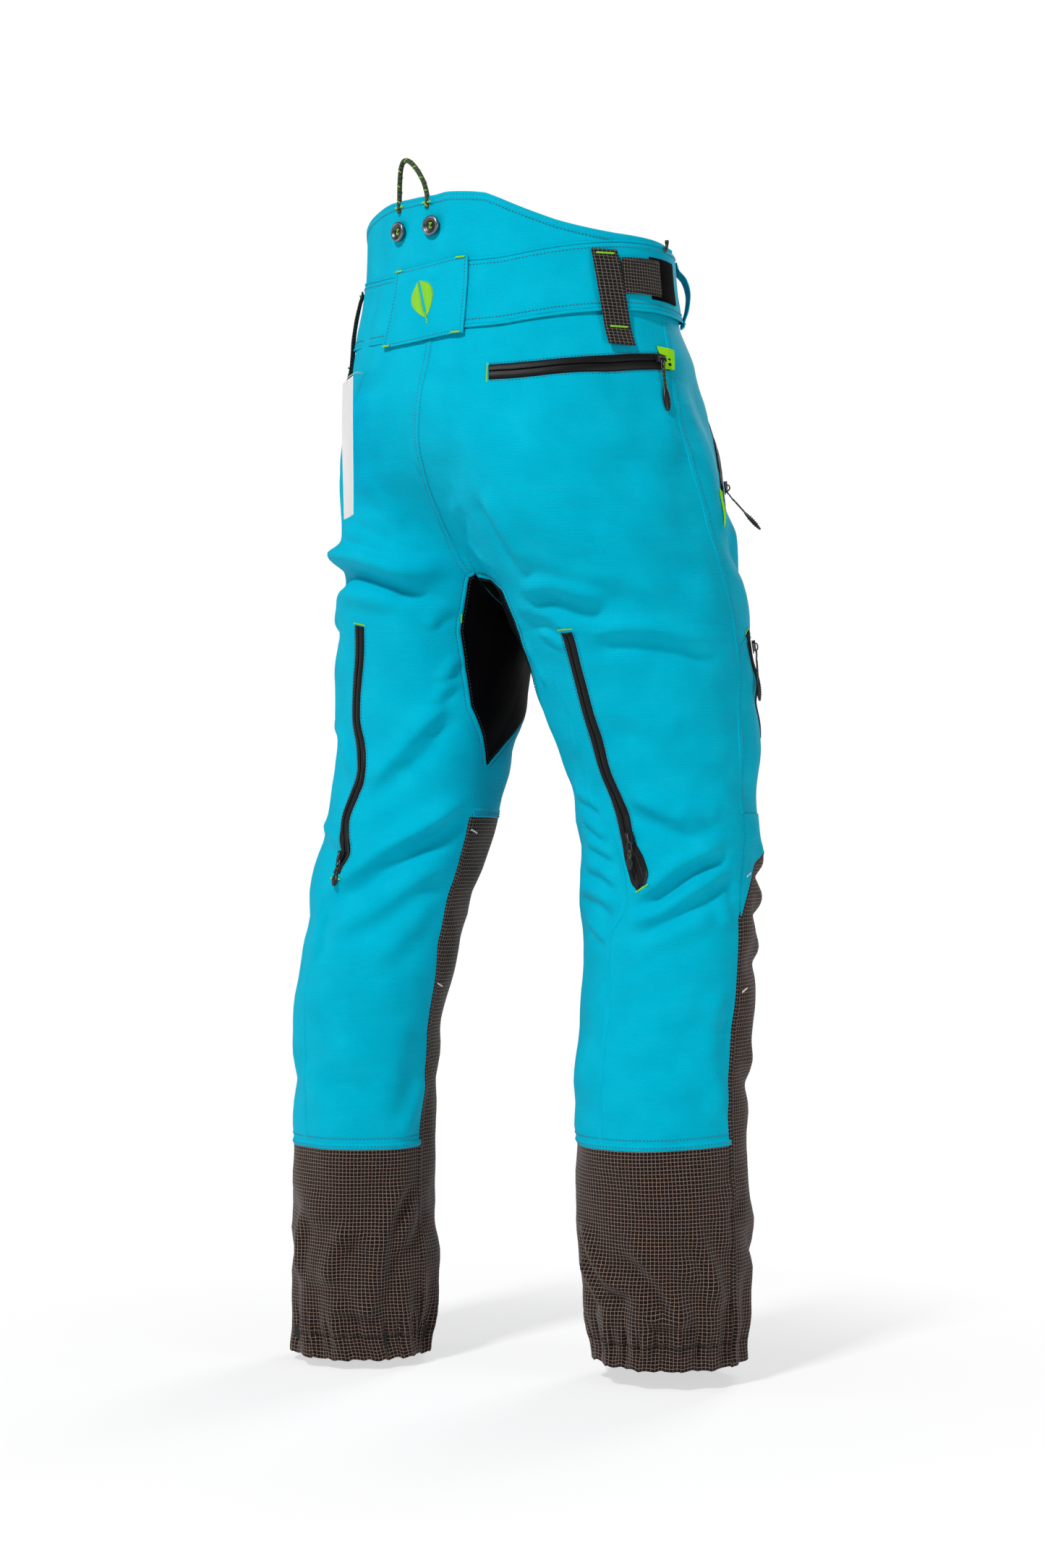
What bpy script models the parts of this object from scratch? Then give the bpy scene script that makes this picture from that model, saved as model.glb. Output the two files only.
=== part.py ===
"""Forestry work trousers with chainsaw protection, right foot forward, as an assembly of cloth
panels, zips, pads, buttons and loops. Metres, +Z up. The origin is on the floor under the middle of
the waist; the front faces -Y and the wearer's right is -X. Heights: hem 0, knee 0.46, crotch about
0.76, waistband about 1.03 to 1.12, raised back up to 1.17."""

import math

import bmesh
import bpy
import numpy as np
from mathutils import Matrix, Vector

SIDES = (("right", -1), ("left", 1))

# ---------------------------------------------------------------- body form
# Each leg is a stack of rounded sections, in metres before sizing.
SIZE = 1.03         # overall size factor from the section tables to the trousers
TABLE_HEM = 0.013   # height of the hem in the section tables

# Columns: height, centre x (distance from the middle), centre y, side, front and back radius.
HEIGHT, CENTRE_X, CENTRE_Y, SIDE_RADIUS, FRONT_RADIUS, BACK_RADIUS = range(6)
RIGHT_LEG = [
    (0.013, 0.1428, -0.066, 0.0745, 0.0745, 0.0745),
    (0.045, 0.1428, -0.064, 0.0770, 0.0770, 0.0770),
    (0.090, 0.1418, -0.061, 0.0800, 0.0800, 0.0800),
    (0.160, 0.1408, -0.060, 0.0815, 0.0815, 0.0815),
    (0.230, 0.1388, -0.058, 0.0820, 0.0820, 0.0815),
    (0.290, 0.1368, -0.061, 0.0820, 0.0820, 0.0820),
    (0.350, 0.1338, -0.072, 0.0815, 0.0830, 0.0830),
    (0.410, 0.1340, -0.080, 0.0840, 0.0870, 0.0840),
    (0.470, 0.1310, -0.083, 0.0880, 0.0920, 0.0860),
    (0.530, 0.1280, -0.086, 0.0890, 0.0930, 0.0890),
    (0.590, 0.1240, -0.081, 0.0920, 0.0950, 0.0930),
    (0.650, 0.1180, -0.070, 0.0990, 0.1010, 0.1010),
    (0.710, 0.1120, -0.057, 0.1075, 0.1080, 0.1120),
    (0.770, 0.1060, -0.043, 0.1135, 0.1150, 0.1290),
    (0.830, 0.0960, -0.022, 0.1200, 0.1220, 0.1480),
    (0.890, 0.0790, -0.014, 0.1270, 0.1310, 0.1610),
    (0.950, 0.0580, -0.008, 0.1340, 0.1340, 0.1540),
]
LEFT_LEG = [
    (0.013, 0.1492, 0.067, 0.0700, 0.0700, 0.0700),
    (0.045, 0.1492, 0.067, 0.0725, 0.0725, 0.0725),
    (0.090, 0.1482, 0.068, 0.0740, 0.0740, 0.0740),
    (0.160, 0.1472, 0.071, 0.0725, 0.0725, 0.0725),
    (0.230, 0.1452, 0.072, 0.0725, 0.0725, 0.0725),
    (0.290, 0.1432, 0.071, 0.0730, 0.0740, 0.0730),
    (0.350, 0.1392, 0.072, 0.0755, 0.0770, 0.0755),
    (0.410, 0.1310, 0.066, 0.0785, 0.0820, 0.0790),
    (0.470, 0.1270, 0.053, 0.0800, 0.0860, 0.0810),
    (0.530, 0.1220, 0.033, 0.0820, 0.0870, 0.0830),
    (0.590, 0.1170, 0.017, 0.0840, 0.0890, 0.0860),
    (0.650, 0.1120, 0.008, 0.0905, 0.0950, 0.0930),
    (0.710, 0.1070, 0.007, 0.0950, 0.1010, 0.0990),
    (0.770, 0.1030, 0.006, 0.1020, 0.1080, 0.1130),
    (0.830, 0.0930, -0.002, 0.1070, 0.1150, 0.1240),
    (0.890, 0.0760, -0.008, 0.1160, 0.1230, 0.1440),
    (0.950, 0.0580, -0.008, 0.1280, 0.1300, 0.1480),
]
# Both sides share these sections.
WAIST = [
    (1.010, 0.0420, -0.008, 0.1400, 0.1260, 0.1370),
    (1.070, 0.0330, -0.008, 0.1390, 0.1160, 0.1240),
    (1.120, 0.0310, -0.007, 0.1380, 0.1120, 0.1200),
    (1.190, 0.0310, -0.004, 0.1380, 0.1120, 0.1220),
]
SECTIONS = {-1: np.array(RIGHT_LEG + WAIST), 1: np.array(LEFT_LEG + WAIST)}


def section_value(side, column, z):
    """Smooth (Hermite) interpolation of one column of a leg's section table."""
    heights, values = SECTIONS[side][:, HEIGHT], SECTIONS[side][:, column]
    slope = np.gradient(values, heights)
    z = np.clip(np.asarray(z, float), heights[0], heights[-1])
    i = np.clip(np.searchsorted(heights, z, side="right") - 1, 0, len(heights) - 2)
    step = heights[i + 1] - heights[i]
    u = (z - heights[i]) / step
    return (
        (2 * u**3 - 3 * u**2 + 1) * values[i]
        + (u**3 - 2 * u**2 + u) * step * slope[i]
        + (3 * u**2 - 2 * u**3) * values[i + 1]
        + (u**3 - u**2) * step * slope[i + 1]
    )


def ramp(start, end, x):
    """Smooth step from 0 at start to 1 at end; end may lie below start."""
    t = np.clip((np.asarray(x, float) - start) / (end - start), 0, 1)
    return t * t * (3 - 2 * t)


def bisect(inside, low, high, steps=26):
    """Place between low and high where inside(place) turns from true to false."""
    for _ in range(steps):
        middle = (low + high) / 2
        is_inside = inside(middle)
        low = np.where(is_inside, middle, low)
        high = np.where(is_inside, high, middle)
    return (low + high) / 2


def unit(vector):
    return vector / np.linalg.norm(vector, axis=-1, keepdims=True)


# The functions from here to seam_angle work in the tables' own metres.
def centre(side, z):
    return side * section_value(side, CENTRE_X, z), section_value(side, CENTRE_Y, z)


def middle_y(z):
    """y halfway between the centres of the two legs."""
    return (centre(-1, z)[1] + centre(1, z)[1]) / 2


def leg_field(side, x, y, z):
    centre_x, centre_y = centre(side, z)
    radius_x = section_value(side, SIDE_RADIUS, z)
    radius_y = np.where(y < centre_y, section_value(side, FRONT_RADIUS, z),
                        section_value(side, BACK_RADIUS, z))
    ratio = np.sqrt(((x - centre_x) / radius_x) ** 2 + ((y - centre_y) / radius_y) ** 2 + 1e-12)
    return (ratio - 1) * radius_x


def field(x, y, z):
    """Both legs and the hips as one smooth form: negative inside."""
    blend = 0.012 + 0.030 * ramp(0.74, 0.80, z) + 0.05 * ramp(0.80, 0.92, z)
    right, left = leg_field(-1, x, y, z), leg_field(1, x, y, z)
    overlap = np.maximum(blend - np.abs(right - left), 0) / blend
    return np.minimum(right, left) - overlap**2 * blend / 4


MAX_REACH = 0.4     # search limit from a centre out to the cloth


def leg_reach(side, phi, z):
    """Distance from the leg's centre to the cloth, stopping at the plane between the legs."""
    centre_x, centre_y = centre(side, z)
    step_x, step_y = side * np.sin(np.radians(phi)), np.cos(np.radians(phi))
    inward = -side * step_x
    limit = np.where(inward > 1e-6, np.abs(centre_x) / np.maximum(inward, 1e-6), MAX_REACH)
    return bisect(lambda r: field(centre_x + r * step_x, centre_y + r * step_y, z) < 0,
                  0.0, np.minimum(limit, MAX_REACH))


def rise_y(z, back):
    """y of the centre-back or centre-front seam."""
    start = middle_y(z)
    return bisect(lambda y: field(0.0, y, z) < 0, start, start + (0.3 if back else -0.3))


# Lowest height at which the two legs are joined.
CROTCH = float(bisect(lambda z: field(0.0, middle_y(z), z) >= 0, 0.70, 0.84, 30))


def seam_angle(side, z, back):
    """Angle of the rise seam above the crotch, and of the inseam below it."""
    seam_z = np.maximum(z, CROTCH + 1e-5)
    centre_x, centre_y = centre(side, seam_z)
    angle = np.degrees(np.arctan2(-np.abs(centre_x), rise_y(seam_z, back) - centre_y))
    angle = angle if back else angle + 360.0
    inseam = -91.0 if back else 269.0
    return angle + (inseam - angle) * ramp(0.0, 0.12, CROTCH - z)


# From here on all places are in metres on the finished trousers.
def table_z(z):
    return z / SIZE + TABLE_HEM


def torso(theta, z, offset=0.0):
    """Point on the seat and waist, offset outwards. theta is in degrees from the back (0) by the
    wearer's right (90) to the front (180)."""
    theta, z = np.broadcast_arrays(np.asarray(theta, float), np.asarray(z, float))
    section_z = table_z(z)
    centre_y = middle_y(section_z)
    step_x, step_y = -np.sin(np.radians(theta)), np.cos(np.radians(theta))
    radius = bisect(lambda r: field(r * step_x, centre_y + r * step_y, section_z) < 0,
                    0.0, MAX_REACH) + offset / SIZE
    return np.stack([radius * step_x * SIZE, (centre_y + radius * step_y) * SIZE, z], axis=-1)


def leg(side, phi, z, offset=0.0):
    """Point on one leg's cloth, offset outwards along the ray from the leg's centre. phi is in
    degrees from the back (0) by the outside (90) to the front (180)."""
    phi, z = np.broadcast_arrays(np.asarray(phi, float), np.asarray(z, float))
    section_z = table_z(z)
    centre_x, centre_y = centre(side, section_z)
    radius = leg_reach(side, phi, section_z) + offset / SIZE
    x = centre_x + radius * side * np.sin(np.radians(phi))
    y = centre_y + radius * np.cos(np.radians(phi))
    return np.stack([x * SIZE, y * SIZE, z], axis=-1)


def depth(point):
    """Roughly how far a point lies outside the cloth (negative inside)."""
    return SIZE * field(point[..., 0] / SIZE, point[..., 1] / SIZE, table_z(point[..., 2]))


def outward(point):
    """Unit normal of the cloth near a point."""
    step = 0.002
    return unit(np.stack([depth(point + step * axis) - depth(point - step * axis)
                          for axis in np.eye(3)], axis=-1))


def theta_of(point):
    """Angle round the torso, as in torso()."""
    centre_y = SIZE * middle_y(table_z(point[..., 2]))
    return np.degrees(np.arctan2(-point[..., 0], point[..., 1] - centre_y))


# -------------------------------------------------------------------- seams
HEM = 0.0
CUFF = 0.222        # seam between the cuff and the calf
KNEE_LOW, KNEE_HIGH = 0.380, 0.495
THIGH_TOP = 0.760
SEAM_GAP = 0.0010   # clearance along z between panels
EDGE_GAP = 0.35     # degrees a leg panel keeps clear of each seam line
BAND_HEIGHT = 0.066

# Upper edge of the raised back before softening: theta, height.
BACK_EDGE = np.array((
    (-180, 1.124), (-120, 1.130), (-100, 1.138), (-75, 1.158), (-50, 1.172),
    (-20, 1.171), (0, 1.167), (17, 1.163), (30, 1.157), (45, 1.144),
    (65, 1.131), (100, 1.125), (180, 1.124),
))
SOFTENING = 15      # width in degrees of the moving average over the edge
WHOLE_DEGREES = np.linspace(-180, 180, 361)
SOFT_EDGE = np.convolve(
    np.pad(np.interp(WHOLE_DEGREES, *BACK_EDGE.T), SOFTENING // 2, mode="edge"),
    np.ones(SOFTENING) / SOFTENING, "valid")


def top_edge(theta):
    return np.interp(theta, WHOLE_DEGREES, SOFT_EDGE)


def band_low(theta):
    """Lower edge of the waistband: it dips at the back and rises towards the right hip."""
    t = np.radians(theta)
    return 1.050 - 0.022 * np.maximum(np.cos(t), 0) ** 2 + 0.008 * np.sin(t)


def band_top(theta):
    return band_low(theta) + BAND_HEIGHT


def outer_seam(z):
    """Side seam above, edge of the shin panel below."""
    return 97.0 + 6 * ramp(1.0, 0.74, z) - 3 * ramp(0.66, 0.50, z)


def inner_seam(side, z, back):
    """Rise seam and inseam; the inseam turns 8 degrees forward down to the knee."""
    return seam_angle(side, table_z(z), back) - 8.0 * ramp(0.66, 0.50, z)


# -------------------------------------------------------------------- scene
for thing in list(bpy.data.objects):
    bpy.data.objects.remove(thing, do_unlink=True)

PARTS = bpy.data.collections.new("chainsaw_trousers")
bpy.context.scene.collection.children.link(PARTS)


def material(name, color, roughness, metallic=0.0):
    mat = bpy.data.materials.new(name)
    mat.use_nodes = True
    shader = mat.node_tree.nodes["Principled BSDF"]
    shader.inputs["Base Color"].default_value = (*color, 1)
    shader.inputs["Roughness"].default_value = roughness
    shader.inputs["Metallic"].default_value = metallic
    mat.diffuse_color = (*color, 1)
    return mat


STRETCH = material("stretch_cloth", color=(0.035, 0.42, 0.60), roughness=0.85)
RIPSTOP = material("ripstop_cloth", color=(0.075, 0.050, 0.032), roughness=0.85)
WEBBING = material("webbing", color=(0.14, 0.095, 0.06), roughness=0.85)
LAMINATE = material("black_laminate", color=(0.012, 0.012, 0.014), roughness=0.6)
SAW_PAD = material("saw_pad", color=(0.80, 0.80, 0.74), roughness=0.9)
LINING = material("lining", color=(0.55, 0.75, 0.05), roughness=0.8)
METAL = material("gunmetal", color=(0.10, 0.10, 0.11), roughness=0.35, metallic=1.0)
CORD = material("cord", color=(0.02, 0.03, 0.02), roughness=0.8)
CARD = material("card", color=(0.9, 0.9, 0.9), roughness=0.6)


# ----------------------------------------------------------- shape builders
def hang(obj, parent):
    """Parent without moving."""
    bpy.context.view_layer.update()
    obj.parent = parent
    obj.matrix_parent_inverse = parent.matrix_world.inverted()


def empty(name, at, parent=None):
    obj = bpy.data.objects.new(name, None)
    obj.empty_display_size = 0.03
    PARTS.objects.link(obj)
    obj.location = at
    if parent:
        hang(obj, parent)
    return obj


def add_mesh(name, mat, parent, bm, sharp_angle, matrix=None):
    """Turn a bmesh into an object, place it and hang it from its parent."""
    mesh = bpy.data.meshes.new(name)
    bm.to_mesh(mesh)
    bm.free()
    obj = bpy.data.objects.new(name, mesh)
    PARTS.objects.link(obj)
    mesh.materials.append(mat)
    mesh.shade_smooth()
    mesh.set_sharp_from_angle(angle=math.radians(sharp_angle))
    if matrix is not None:
        obj.matrix_world = matrix
    hang(obj, parent)


def slab(name, mat, parent, place, n_u, n_v, ring=False):
    """Closed sheet: place(u, v, layer) gives the outer (0) and inner (1) face over u, v in 0 to 1."""
    bm = bmesh.new()
    columns = n_u if ring else n_u + 1
    u, v = np.meshgrid(np.arange(columns) / n_u, np.arange(n_v + 1) / n_v)
    layers = []
    for layer in (0, 1):
        points = place(u, v, layer)
        layers.append([[bm.verts.new(point) for point in row] for row in points])
    for grid in layers:
        for j in range(n_v):
            for i in range(n_u):
                k = (i + 1) % columns
                bm.faces.new((grid[j][i], grid[j][k], grid[j + 1][k], grid[j + 1][i]))
    outer, inner = layers
    for i in range(n_u):
        k = (i + 1) % columns
        for j in (0, n_v):
            bm.faces.new((outer[j][i], outer[j][k], inner[j][k], inner[j][i]))
    if not ring:
        for j in range(n_v):
            for i in (0, -1):
                bm.faces.new((outer[j][i], outer[j + 1][i], inner[j + 1][i], inner[j][i]))
    bmesh.ops.recalc_face_normals(bm, faces=bm.faces)
    add_mesh(name, mat, parent, bm, sharp_angle=40)


def between_seams(low, high, u, z):
    start = low(z) + EDGE_GAP
    return start + u * (high(z) - EDGE_GAP - start)


CLOTH = 0.0020      # one panel with its lining


def leg_panel(name, mat, parent, side, low, high, bottom, top, n_u, n_v, offset=0.0, thick=CLOTH):
    """Panel of one leg between two seam lines, low(z) and high(z), and two heights."""

    def place(u, v, layer):
        z = bottom + v * (top - bottom)
        return leg(side, between_seams(low, high, u, z), z, offset - thick * layer)

    slab(name, mat, parent, place, n_u, n_v)


def hip_panel(name, side, low, high, n_u):
    """Panel between two seam lines, from the thigh up to the sloping edge of the waistband."""
    bottom = THIGH_TOP + SEAM_GAP

    def place(u, v, layer):
        z = bottom + v * (0.9 - bottom)     # first guess, settled by the loop
        for _ in range(4):
            phi = between_seams(low, high, u, z)
            top = band_low(theta_of(leg(side, phi, z))) - SEAM_GAP
            z = bottom + v * (top - bottom)
        return leg(side, phi, z, -CLOTH * layer)

    slab(name, STRETCH, ROOT, place, n_u, 6)


def belt_sheet(name, mat, parent, start, end, low, high, n_u, n_v, offset, thick, ring=False):
    """Piece round the waist between two angles; low and high give its edges at an angle."""

    def place(u, v, layer):
        theta = start + u * (end - start)
        bottom = low(theta)
        return torso(theta, bottom + v * (high(theta) - bottom), offset - thick * layer)

    slab(name, mat, parent, place, n_u, n_v, ring)


def block(name, mat, parent, size, at, axes, bevel):
    """Box centred at a point in a frame of three unit axes, its edges bevelled if bevel is set."""
    bm = bmesh.new()
    bmesh.ops.create_cube(bm, size=1.0)
    bmesh.ops.scale(bm, vec=size, verts=bm.verts)
    if bevel:
        bmesh.ops.bevel(bm, geom=list(bm.edges), offset=bevel, segments=1, affect="EDGES")
    matrix = Matrix([Vector(axis) for axis in axes]).transposed().to_4x4()
    matrix.translation = Vector(at)
    add_mesh(name, mat, parent, bm, sharp_angle=30, matrix=matrix)


# ------------------------------------------------------------ turning axes
HIP_X, HIP_Z = 0.100, 0.820
KNEE_Z = 0.460
ROOT = empty("waist_body", (0, 0, 1.03))
THIGH, SHIN = {}, {}
for word, side in SIDES:
    THIGH[word] = empty(f"thigh_{word}_axis", (side * HIP_X, 0.0, HIP_Z), ROOT)
    knee_x, knee_y = centre(side, table_z(KNEE_Z))
    SHIN[word] = empty(f"shin_{word}_axis", (float(knee_x * SIZE), float(knee_y * SIZE), KNEE_Z),
                       THIGH[word])


# ------------------------------------------------------------ waist and hips
def waist():
    belt_sheet("waistband", STRETCH, ROOT, -180.0, 180.0, band_low, band_top,
               n_u=36, n_v=2, offset=0.0, thick=0.0030, ring=True)
    belt_sheet("back_yoke", STRETCH, ROOT, -90.0, 62.0,
               lambda t: band_top(t) + SEAM_GAP,
               lambda t: np.maximum(top_edge(t), band_top(t) + 0.006),
               n_u=16, n_v=2, offset=0.0, thick=0.0026)


def hips(word, side):
    hip_panel(f"seat_panel_{word}", side, lambda z: inner_seam(side, z, True), outer_seam, n_u=10)
    hip_panel(f"front_hip_{word}", side, outer_seam, lambda z: inner_seam(side, z, False), n_u=9)


# ------------------------------------------------------------ crotch gusset
GUSSET_BOTTOM, GUSSET_HEIGHT = 0.768, 0.040
GUSSET_LOW_HALF, GUSSET_TOP_HALF = 0.030, 0.010     # half widths
GUSSET_X = -0.004
GUSSET_OFFSET, GUSSET_THICK = 0.0075, 0.0016


def crotch_gusset():
    """Patch over the centre-back seam, narrower at the top, standing off the seat."""

    def place(u, v, layer):
        z = GUSSET_BOTTOM + v * GUSSET_HEIGHT
        half = GUSSET_TOP_HALF + (GUSSET_LOW_HALF - GUSSET_TOP_HALF) * (1 - v)
        x = (u * 2 - 1) * half + GUSSET_X
        cloth_y = SIZE * bisect(lambda y: field(x / SIZE, y, table_z(z)) < 0, -0.02, 0.3, 30)
        return np.stack([x, cloth_y + GUSSET_OFFSET - GUSSET_THICK * layer, z], axis=-1)

    slab("crotch_gusset", LAMINATE, ROOT, place, 6, 4)


# --------------------------------------------------------------------- legs
# Name, material, axis it hangs from, bottom, top, rows of faces.
BACK_PANELS = (
    ("thigh_back", STRETCH, THIGH, KNEE_HIGH + SEAM_GAP, THIGH_TOP, 5),
    ("knee_back", STRETCH, THIGH, KNEE_LOW + SEAM_GAP, KNEE_HIGH, 3),
    ("calf_back", STRETCH, SHIN, CUFF + SEAM_GAP, KNEE_LOW, 3),
    ("cuff_back", RIPSTOP, SHIN, HEM, CUFF, 3),
)
FRONT_PANELS = (
    ("thigh_front", RIPSTOP, THIGH, KNEE_HIGH + SEAM_GAP, THIGH_TOP, 5),
    ("knee_front", RIPSTOP, THIGH, KNEE_LOW + SEAM_GAP, KNEE_HIGH, 3),
    ("shin_front", RIPSTOP, SHIN, HEM, KNEE_LOW, 6),
)
# Stacked saw-stopping fibre behind the front of the leg: name, axis, bottom, top.
SAW_PADS = (
    ("saw_pad_thigh", THIGH, 0.505, 0.745),
    ("saw_pad_shin", SHIN, 0.090, 0.372),
)
INSIDE_OFFSET = -0.0072     # outer face of pads and pocket bags, behind the cloth


def leg_panels(word, side):
    def back_inner(z):
        return inner_seam(side, z, True)

    def front_inner(z):
        return inner_seam(side, z, False)

    for name, mat, axes, bottom, top, rows in BACK_PANELS:
        leg_panel(f"{name}_{word}", mat, axes[word], side, back_inner, outer_seam,
                  bottom, top, 12, rows)
    for name, mat, axes, bottom, top, rows in FRONT_PANELS:
        leg_panel(f"{name}_{word}", mat, axes[word], side, outer_seam, front_inner,
                  bottom, top, 11, rows)
    for name, axes, bottom, top in SAW_PADS:
        leg_panel(f"{name}_{word}", SAW_PAD, axes[word], side,
                  lambda z: outer_seam(z) + 6, lambda z: front_inner(z) - 14,
                  bottom, top, 8, 4, INSIDE_OFFSET, thick=0.0050)


def pocket_bag(name, side, phi_low, phi_high, bottom, n_v):
    leg_panel(name, LINING, ROOT, side, lambda z: phi_low, lambda z: phi_high,
              bottom, 0.985, 6, n_v, INSIDE_OFFSET, thick=0.0012)


# --------------------------------------------------------------------- zips
TAPE_WIDTH, TAPE_THICK = 0.014, 0.0014
TAPE_LIFT = 0.0009          # least height of the tape above the cloth
TAPE_OVERRUN = 0.02         # share of the swing by which the tape passes each end
MIN_BULGE = 0.0004          # least height of a zip's arc over its chord
SLIDER_LENGTH, SLIDER_WIDTH, SLIDER_HEIGHT = 0.012, 0.009, 0.0045
SLIDER_GAP = 0.0006         # between tape and slider
PULL_WIDTH, PULL_THICK = 0.006, 0.0022
LONG_PULL, SHORT_PULL = 0.042, 0.024
PULL_PROBE = 0.043          # distance below the hinge at which the cloth is felt for
PULL_CLEARANCE = 0.006      # least height of a puller over the cloth


class ZipArc:
    """Circular arc of a zip along the cloth, from start to end."""

    def __init__(self, start, end):
        middle, half_chord = (start + end) / 2, (end - start) / 2
        half = np.linalg.norm(half_chord)
        chord_way = half_chord / half
        normal = outward(middle)
        normal = unit(normal - chord_way * (normal @ chord_way))
        bulge = float(bisect(lambda h: depth(middle + normal * h) < 0, -0.06, 0.06, 40))
        if abs(bulge) < MIN_BULGE:
            bulge = MIN_BULGE
        radius = (half**2 + bulge**2) / (2 * abs(bulge))
        self.sign = 1.0 if bulge > 0 else -1.0      # -1 where the cloth is hollow
        self.centre = middle + normal * (bulge - self.sign * radius)
        self.arm = start - self.centre
        self.axis = unit(np.cross(self.arm, end - self.centre))
        self.swing = 2 * np.arcsin(min(1.0, half / radius))
        # Lift the tape clear of the cloth along its middle and both edges.
        line = self.at(np.linspace(0, 1, 21))[0]
        sunk = max(-depth(line + self.axis * share * TAPE_WIDTH).min() for share in (-0.5, 0, 0.5))
        self.lift = max(sunk, 0.0) + TAPE_LIFT

    def at(self, share):
        """Point, tangent and outward direction at a share of the swing."""
        angle = self.swing * np.asarray(share, float)[..., None]
        spoke = self.arm * np.cos(angle) + np.cross(self.axis, self.arm) * np.sin(angle)
        radial = unit(spoke)
        return self.centre + spoke, np.cross(self.axis, radial), self.sign * radial


def zip_tape(name, arc, parent):
    def place(u, v, layer):
        point, _, out = arc.at(-TAPE_OVERRUN + v * (1 + 2 * TAPE_OVERRUN))
        across = ((u - 0.5) * TAPE_WIDTH)[..., None]
        return point + out * (arc.lift + TAPE_THICK * (1 - layer)) + arc.axis * across

    slab(name, LAMINATE, parent, place, 1, 14)


def zip_pull(name, arc, rest, parent, length):
    """Puller hanging down the cloth from the lower edge of the slider."""
    point, tangent, out = arc.at(rest)
    hinge = point + out * (arc.lift + TAPE_THICK + SLIDER_GAP + SLIDER_HEIGHT * 0.75)
    lies_level = abs(arc.axis[2]) > abs(tangent[2])
    drop = (SLIDER_WIDTH if lies_level else SLIDER_LENGTH) / 2
    normal = outward(hinge)
    down = np.array((0, 0, -1.0))
    way = unit(down - normal * (down @ normal))
    hinge = hinge + way * (drop + 0.0010)
    # Lean outwards where the cloth swells below the zip.
    tip = hinge + way * PULL_PROBE
    shortfall = min(float(depth(tip)) - PULL_CLEARANCE,
                    float(depth((tip + hinge) / 2)) - PULL_CLEARANCE, 0.0)
    way = unit(way * PULL_PROBE - normal * shortfall * 1.3)
    sideways = unit(np.cross(way, normal))
    normal = np.cross(sideways, way)
    hinge_axis = empty(f"{name}_pull_axis", hinge, parent)
    block(f"{name}_pull", CORD, hinge_axis, (PULL_WIDTH, length, PULL_THICK),
          hinge + way * (0.0008 + length / 2), (sideways, way, normal), bevel=0.0006)


def build_zip(kind, suffix, parent, start, end, rest, pull_length):
    """Tape, slider resting at a share of the swing, and puller if it has a length."""
    arc = ZipArc(start, end)
    name = kind + suffix
    zip_tape(f"{kind}_zip_tape{suffix}", arc, parent)
    point, tangent, out = arc.at(rest)
    slider_at = point + out * (arc.lift + TAPE_THICK + SLIDER_GAP + SLIDER_HEIGHT / 2)
    arc_axis = empty(f"{name}_slider_arc", arc.centre, parent)
    block(f"{name}_slider", METAL, arc_axis, (SLIDER_LENGTH, SLIDER_WIDTH, SLIDER_HEIGHT),
          slider_at, (tangent, arc.axis, out), bevel=0.0008)
    if pull_length:
        zip_pull(name, arc, rest, arc_axis, pull_length)


# Kind, suffix, parent, start, end, share at which the slider rests, puller length.
ZIPS = [
    ("hip", "", ROOT, torso(27.0, 0.988), torso(93.0, 1.000), 0.90, LONG_PULL),
    ("fly", "", ROOT, torso(180.0, 0.905), torso(180.0, 1.040), 0.93, None),
    ("thigh", "", THIGH["right"], leg(-1, 118.0, 0.735), leg(-1, 140.0, 0.640), 0.10, LONG_PULL),
    ("vent", "_right", THIGH["right"], leg(-1, 6.0, 0.742), leg(-1, 21.0, 0.497), 0.84,
     SHORT_PULL),
    ("vent", "_left", THIGH["left"], leg(1, 0.0, 0.745), leg(1, -4.0, 0.498), 0.93, SHORT_PULL),
]
for word, side in SIDES:
    ZIPS.append(("hand", f"_{word}", ROOT, leg(side, 150.0, 0.985), leg(side, 117.0, 0.868), 0.88,
                 LONG_PULL))


# ------------------------------------------------------------ waist details
def label_patch():
    belt_sheet("label_patch", STRETCH, ROOT, -19.0, 18.0,
               lambda t: band_low(t) - 0.008, lambda t: band_top(t) + 0.004,
               n_u=6, n_v=2, offset=0.0030, thick=0.0018)


def button(name, theta, z, radius, height):
    """Slightly tapered disc lying on the cloth."""
    on_cloth = torso(theta, z)
    normal = outward(on_cloth)
    bm = bmesh.new()
    bmesh.ops.create_cone(bm, cap_ends=True, segments=20, radius1=radius, radius2=radius * 0.92,
                          depth=height)
    at = on_cloth + normal * (0.0012 + height / 2)
    facing = Vector(normal).to_track_quat("Z", "Y").to_matrix().to_4x4()
    add_mesh(name, METAL, ROOT, bm, sharp_angle=30, matrix=Matrix.Translation(Vector(at)) @ facing)


CORD_RADIUS = 0.0026
CORD_ARCH = 0.048           # height of the loop above its feet
CORD_INSET = 0.0013         # inwards from the face of the yoke


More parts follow.
